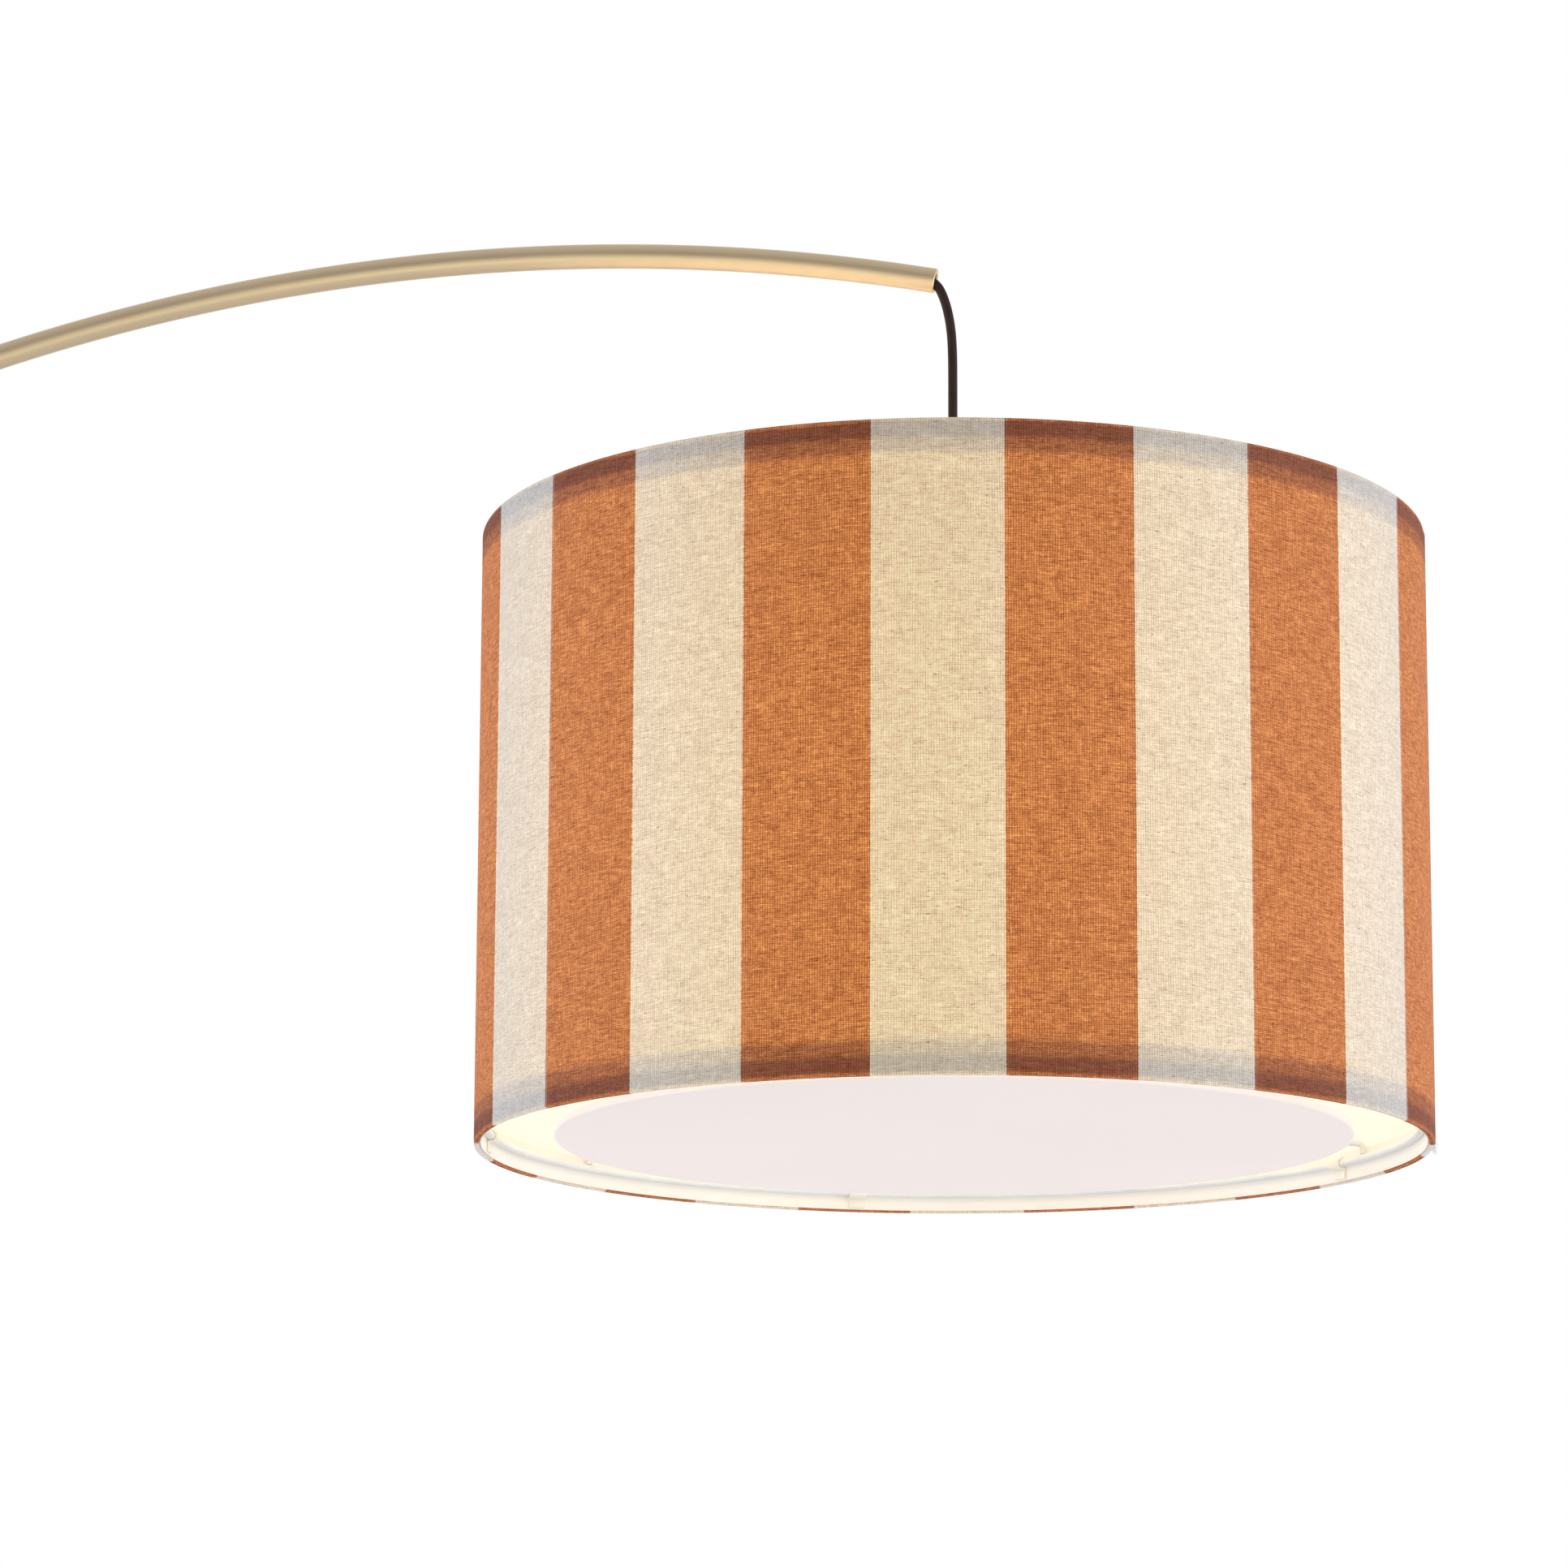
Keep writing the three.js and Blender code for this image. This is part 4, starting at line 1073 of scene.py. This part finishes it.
def shade_rings():
    for node, height in (("top_ring", TOP_RING), ("lower_ring", LOWER_RING)):
        outline = hoop_outline(RING_RADIUS, WIRE_RADIUS, height)
        ring = turned(f"{node}_wire", outline, IN_SHADE, WHITE_WIRE, ROUND_SIDES, sharp=60)
        done(ring, "shade", "white_wire", node)


def spider():
    low, high = heights("spider_hub", SHADE_BOTTOM)
    outline = filleted([
        (low, 0.0203, 0.0004), (low, 0.029, 0.0006), (high, 0.029, 0.0006), (high, 0.0203, 0.0004),
    ])
    hub = turned("spider_hub_ring", outline, IN_SHADE, WHITE_WIRE)
    done(hub, "shade", "white_wire", "spider_hub")
    middle = (low + high) / 2
    for number in (1, 2, 3):
        angle = math.radians(90 + 120 * (number - 1))
        knee = Vector((0.048, middle))
        end = Vector((RING_RADIUS - WIRE_RADIUS - GAP, TOP_RING))
        after = knee + (end - knee).normalized() * 0.010
        points = [Vector((0.0293, middle)), *corner_curve(Vector((0.040, middle)), knee, after, 8)]
        points += [after.lerp(end, share) for share in (0.25, 0.5, 0.75, 1.0)]
        spine = along([tuple(point) for point in points], angle, SHADE_X, SHADE_BOTTOM)
        spoke = wire(f"spider_spoke_wire_{number}", spine, len(points), 0.0017, WHITE_WIRE)
        done(spoke, "shade", "white_wire", f"spider_spoke_{number}")


def ring_clips():
    """Springy clips that grip the lower ring from inside, each with a foot flat on the hem tape."""
    hold = WIRE_RADIUS + GAP
    outside = hold + 0.0013
    face = WIRE_RADIUS - 0.0001
    outline = []
    for step in range(19):
        turn = math.radians(75 + 185 * step / 18)
        outline.append((outside * math.cos(turn), outside * math.sin(turn)))
    outline += [(face - 0.001, -outside), (face - 0.001, -0.008), (face, -0.008), (face, -hold - GAP)]
    for step in range(23):
        turn = math.radians(290 - 215 * step / 22)
        outline.append((hold * math.cos(turn), hold * math.sin(turn)))
    outline = [(RING_RADIUS + across, LOWER_RING + up) for across, up in outline]
    for number in range(1, 6):
        angle = math.radians(37 + 72 * (number - 1))
        place = Matrix.Translation((SHADE_X, 0, SHADE_BOTTOM)) @ Matrix.Rotation(angle, 4, "Z")
        clip = prism(f"ring_clip_spring_{number}", outline, 0.009, place, NYLON_PAINTED_GLOW, bevel=0.0002)
        done(clip, "shade", "natural_nylon", f"ring_clip_{number}")


BRACKET_HEIGHT = 0.0175
BRACKET_RADIUS = 0.0016
SADDLE_REACH = 0.180


def diffuser_mounts():
    for number in (1, 2, 3):
        angle = math.radians(31 + 120 * (number - 1))
        foot = LOWER_RING + WIRE_RADIUS + GAP
        corner = Vector((RING_RADIUS, BRACKET_HEIGHT))
        below = corner - Vector((0, 0.0032))
        beside = corner - Vector((0.0032, 0))
        points = [Vector((RING_RADIUS, foot)), *corner_curve(below, corner, beside, 8)]
        points += [Vector((x, BRACKET_HEIGHT)) for x in (0.215, 0.200, 0.185, 0.172)]
        spine = along([tuple(point) for point in points], angle, SHADE_X, SHADE_BOTTOM)
        bracket = wire(f"diffuser_bracket_wire_{number}", spine, len(points), BRACKET_RADIUS, WHITE_WIRE)
        done(bracket, "shade", "white_wire", f"diffuser_bracket_{number}")
        done(saddle(number, angle), "shade", "natural_nylon", f"diffuser_saddle_{number}")


def saddle(number, angle):
    """A small block that stands on the diffuser with the bracket's wire through it."""
    low, high = heights(f"diffuser_saddle_{number}", SHADE_BOTTOM)
    outline = filleted([
        (SADDLE_REACH - 0.006, low), (SADDLE_REACH + 0.006, low),
        (SADDLE_REACH + 0.006, high, 0.003), (SADDLE_REACH - 0.006, high, 0.003),
    ])
    block = prism(f"diffuser_saddle_block_{number}", outline, 0.010, Matrix.Identity(4), NYLON_PAINTED_GLOW, 0.0004, 50)
    cut(block, rod("wire_hole", 0.17, 0.19, BRACKET_RADIUS + GAP, level_spine(BRACKET_HEIGHT), 24))
    block.data.transform(Matrix.Translation((SHADE_X, 0, SHADE_BOTTOM)) @ Matrix.Rotation(angle, 4, "Z"))
    return block


def diffuser():
    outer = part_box("diffuser")[1].x - SHADE_X
    low, high = heights("diffuser", SHADE_BOTTOM)
    plate = low + 0.0022
    outline = filleted([
        (low, 0), (low, outer, 0.0018), (high, outer, 0.0006), (high, outer - 0.0016, 0.0006),
        (plate, outer - 0.0016, 0.0008), (plate, 0),
    ])
    dish = turned("diffuser_dish", outline, IN_SHADE, DIFFUSER, ROUND_SIDES)
    done(dish, "shade", "opal_acrylic", "diffuser")


# CAD nodes that stay, with their finishes
KEPT_NODES = {
    IRON: ["base_weight"],
    PAD_RUBBER: ["base_pad"],
    STEEL: ["pole_spigot", "base_washer", "base_nut", "arm_ferrule_lower", "arm_ferrule_upper", "cord_stop"],
    NYLON_PAINTED_GLOW: ["swivel_bush"],
    SHEATH: ["base_lead", "pole_lead", "arm_lead"],
    BRASS: ["screw_shell", "centre_contact"],
}


def finish_kept_nodes():
    for material, names in KEPT_NODES.items():
        for name in names:
            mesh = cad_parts[name].data
            mesh.materials.clear()
            mesh.materials.append(material)


def add_floor():
    """A pale floor that brightens into the white backdrop with distance."""
    finish = Finish("pale_floor", Roughness=0.7, Specular_IOR_Level=0.2)
    place = finish.place()
    cloud = finish.noise(place, 0.6, 2)
    finish.set("Base Color", finish.blend(cloud, (0.80, 0.775, 0.75), (0.82, 0.795, 0.77)))
    reach = finish.node("VectorMath", place, operation="LENGTH").outputs["Value"]
    far = finish.spread(reach, 2, 8, smooth=True)
    finish.set("Emission Color", finish.vector(far, far, far))
    finish.set("Emission Strength", 0.4)
    half, height = 40, -0.0005
    corners = [(x * half, y * half, height) for x, y in ((-1, -1), (1, -1), (1, 1), (-1, 1))]
    floor = mesh_piece("floor", corners, [(0, 1, 2, 3)], finish.material)


add_camera()
pendant_cord()
add_world()
add_lights()
add_floor()
base_cover()
pole_foot()
cord_gland()
pole_tube("pole_lower")
pole_tube("pole_upper")
pole_coupler()
swivel_collar()
arm_tube("arm_lower_tube", "arm_tube_lower", -ARM_SPIGOT, ARM_JOINTS[0] - GAP)
arm_tube("arm_middle_tube", "arm_tube_middle", ARM_JOINTS[0], ARM_JOINTS[1] - GAP)
arm_tube("arm_upper_tube", "arm_tube_upper", ARM_JOINTS[1], ARM_LENGTH)
mouth_bush()
holder_parts()
bulb()
cloth = shade_cloth()
threads = seam_threads()
liner = shade_liner()
tapes = [hem_tape("hem_tape_lower"), hem_tape("hem_tape_top")]
shade_rings()
spider()
ring_clips()
diffuser_mounts()
diffuser()
finish_kept_nodes()
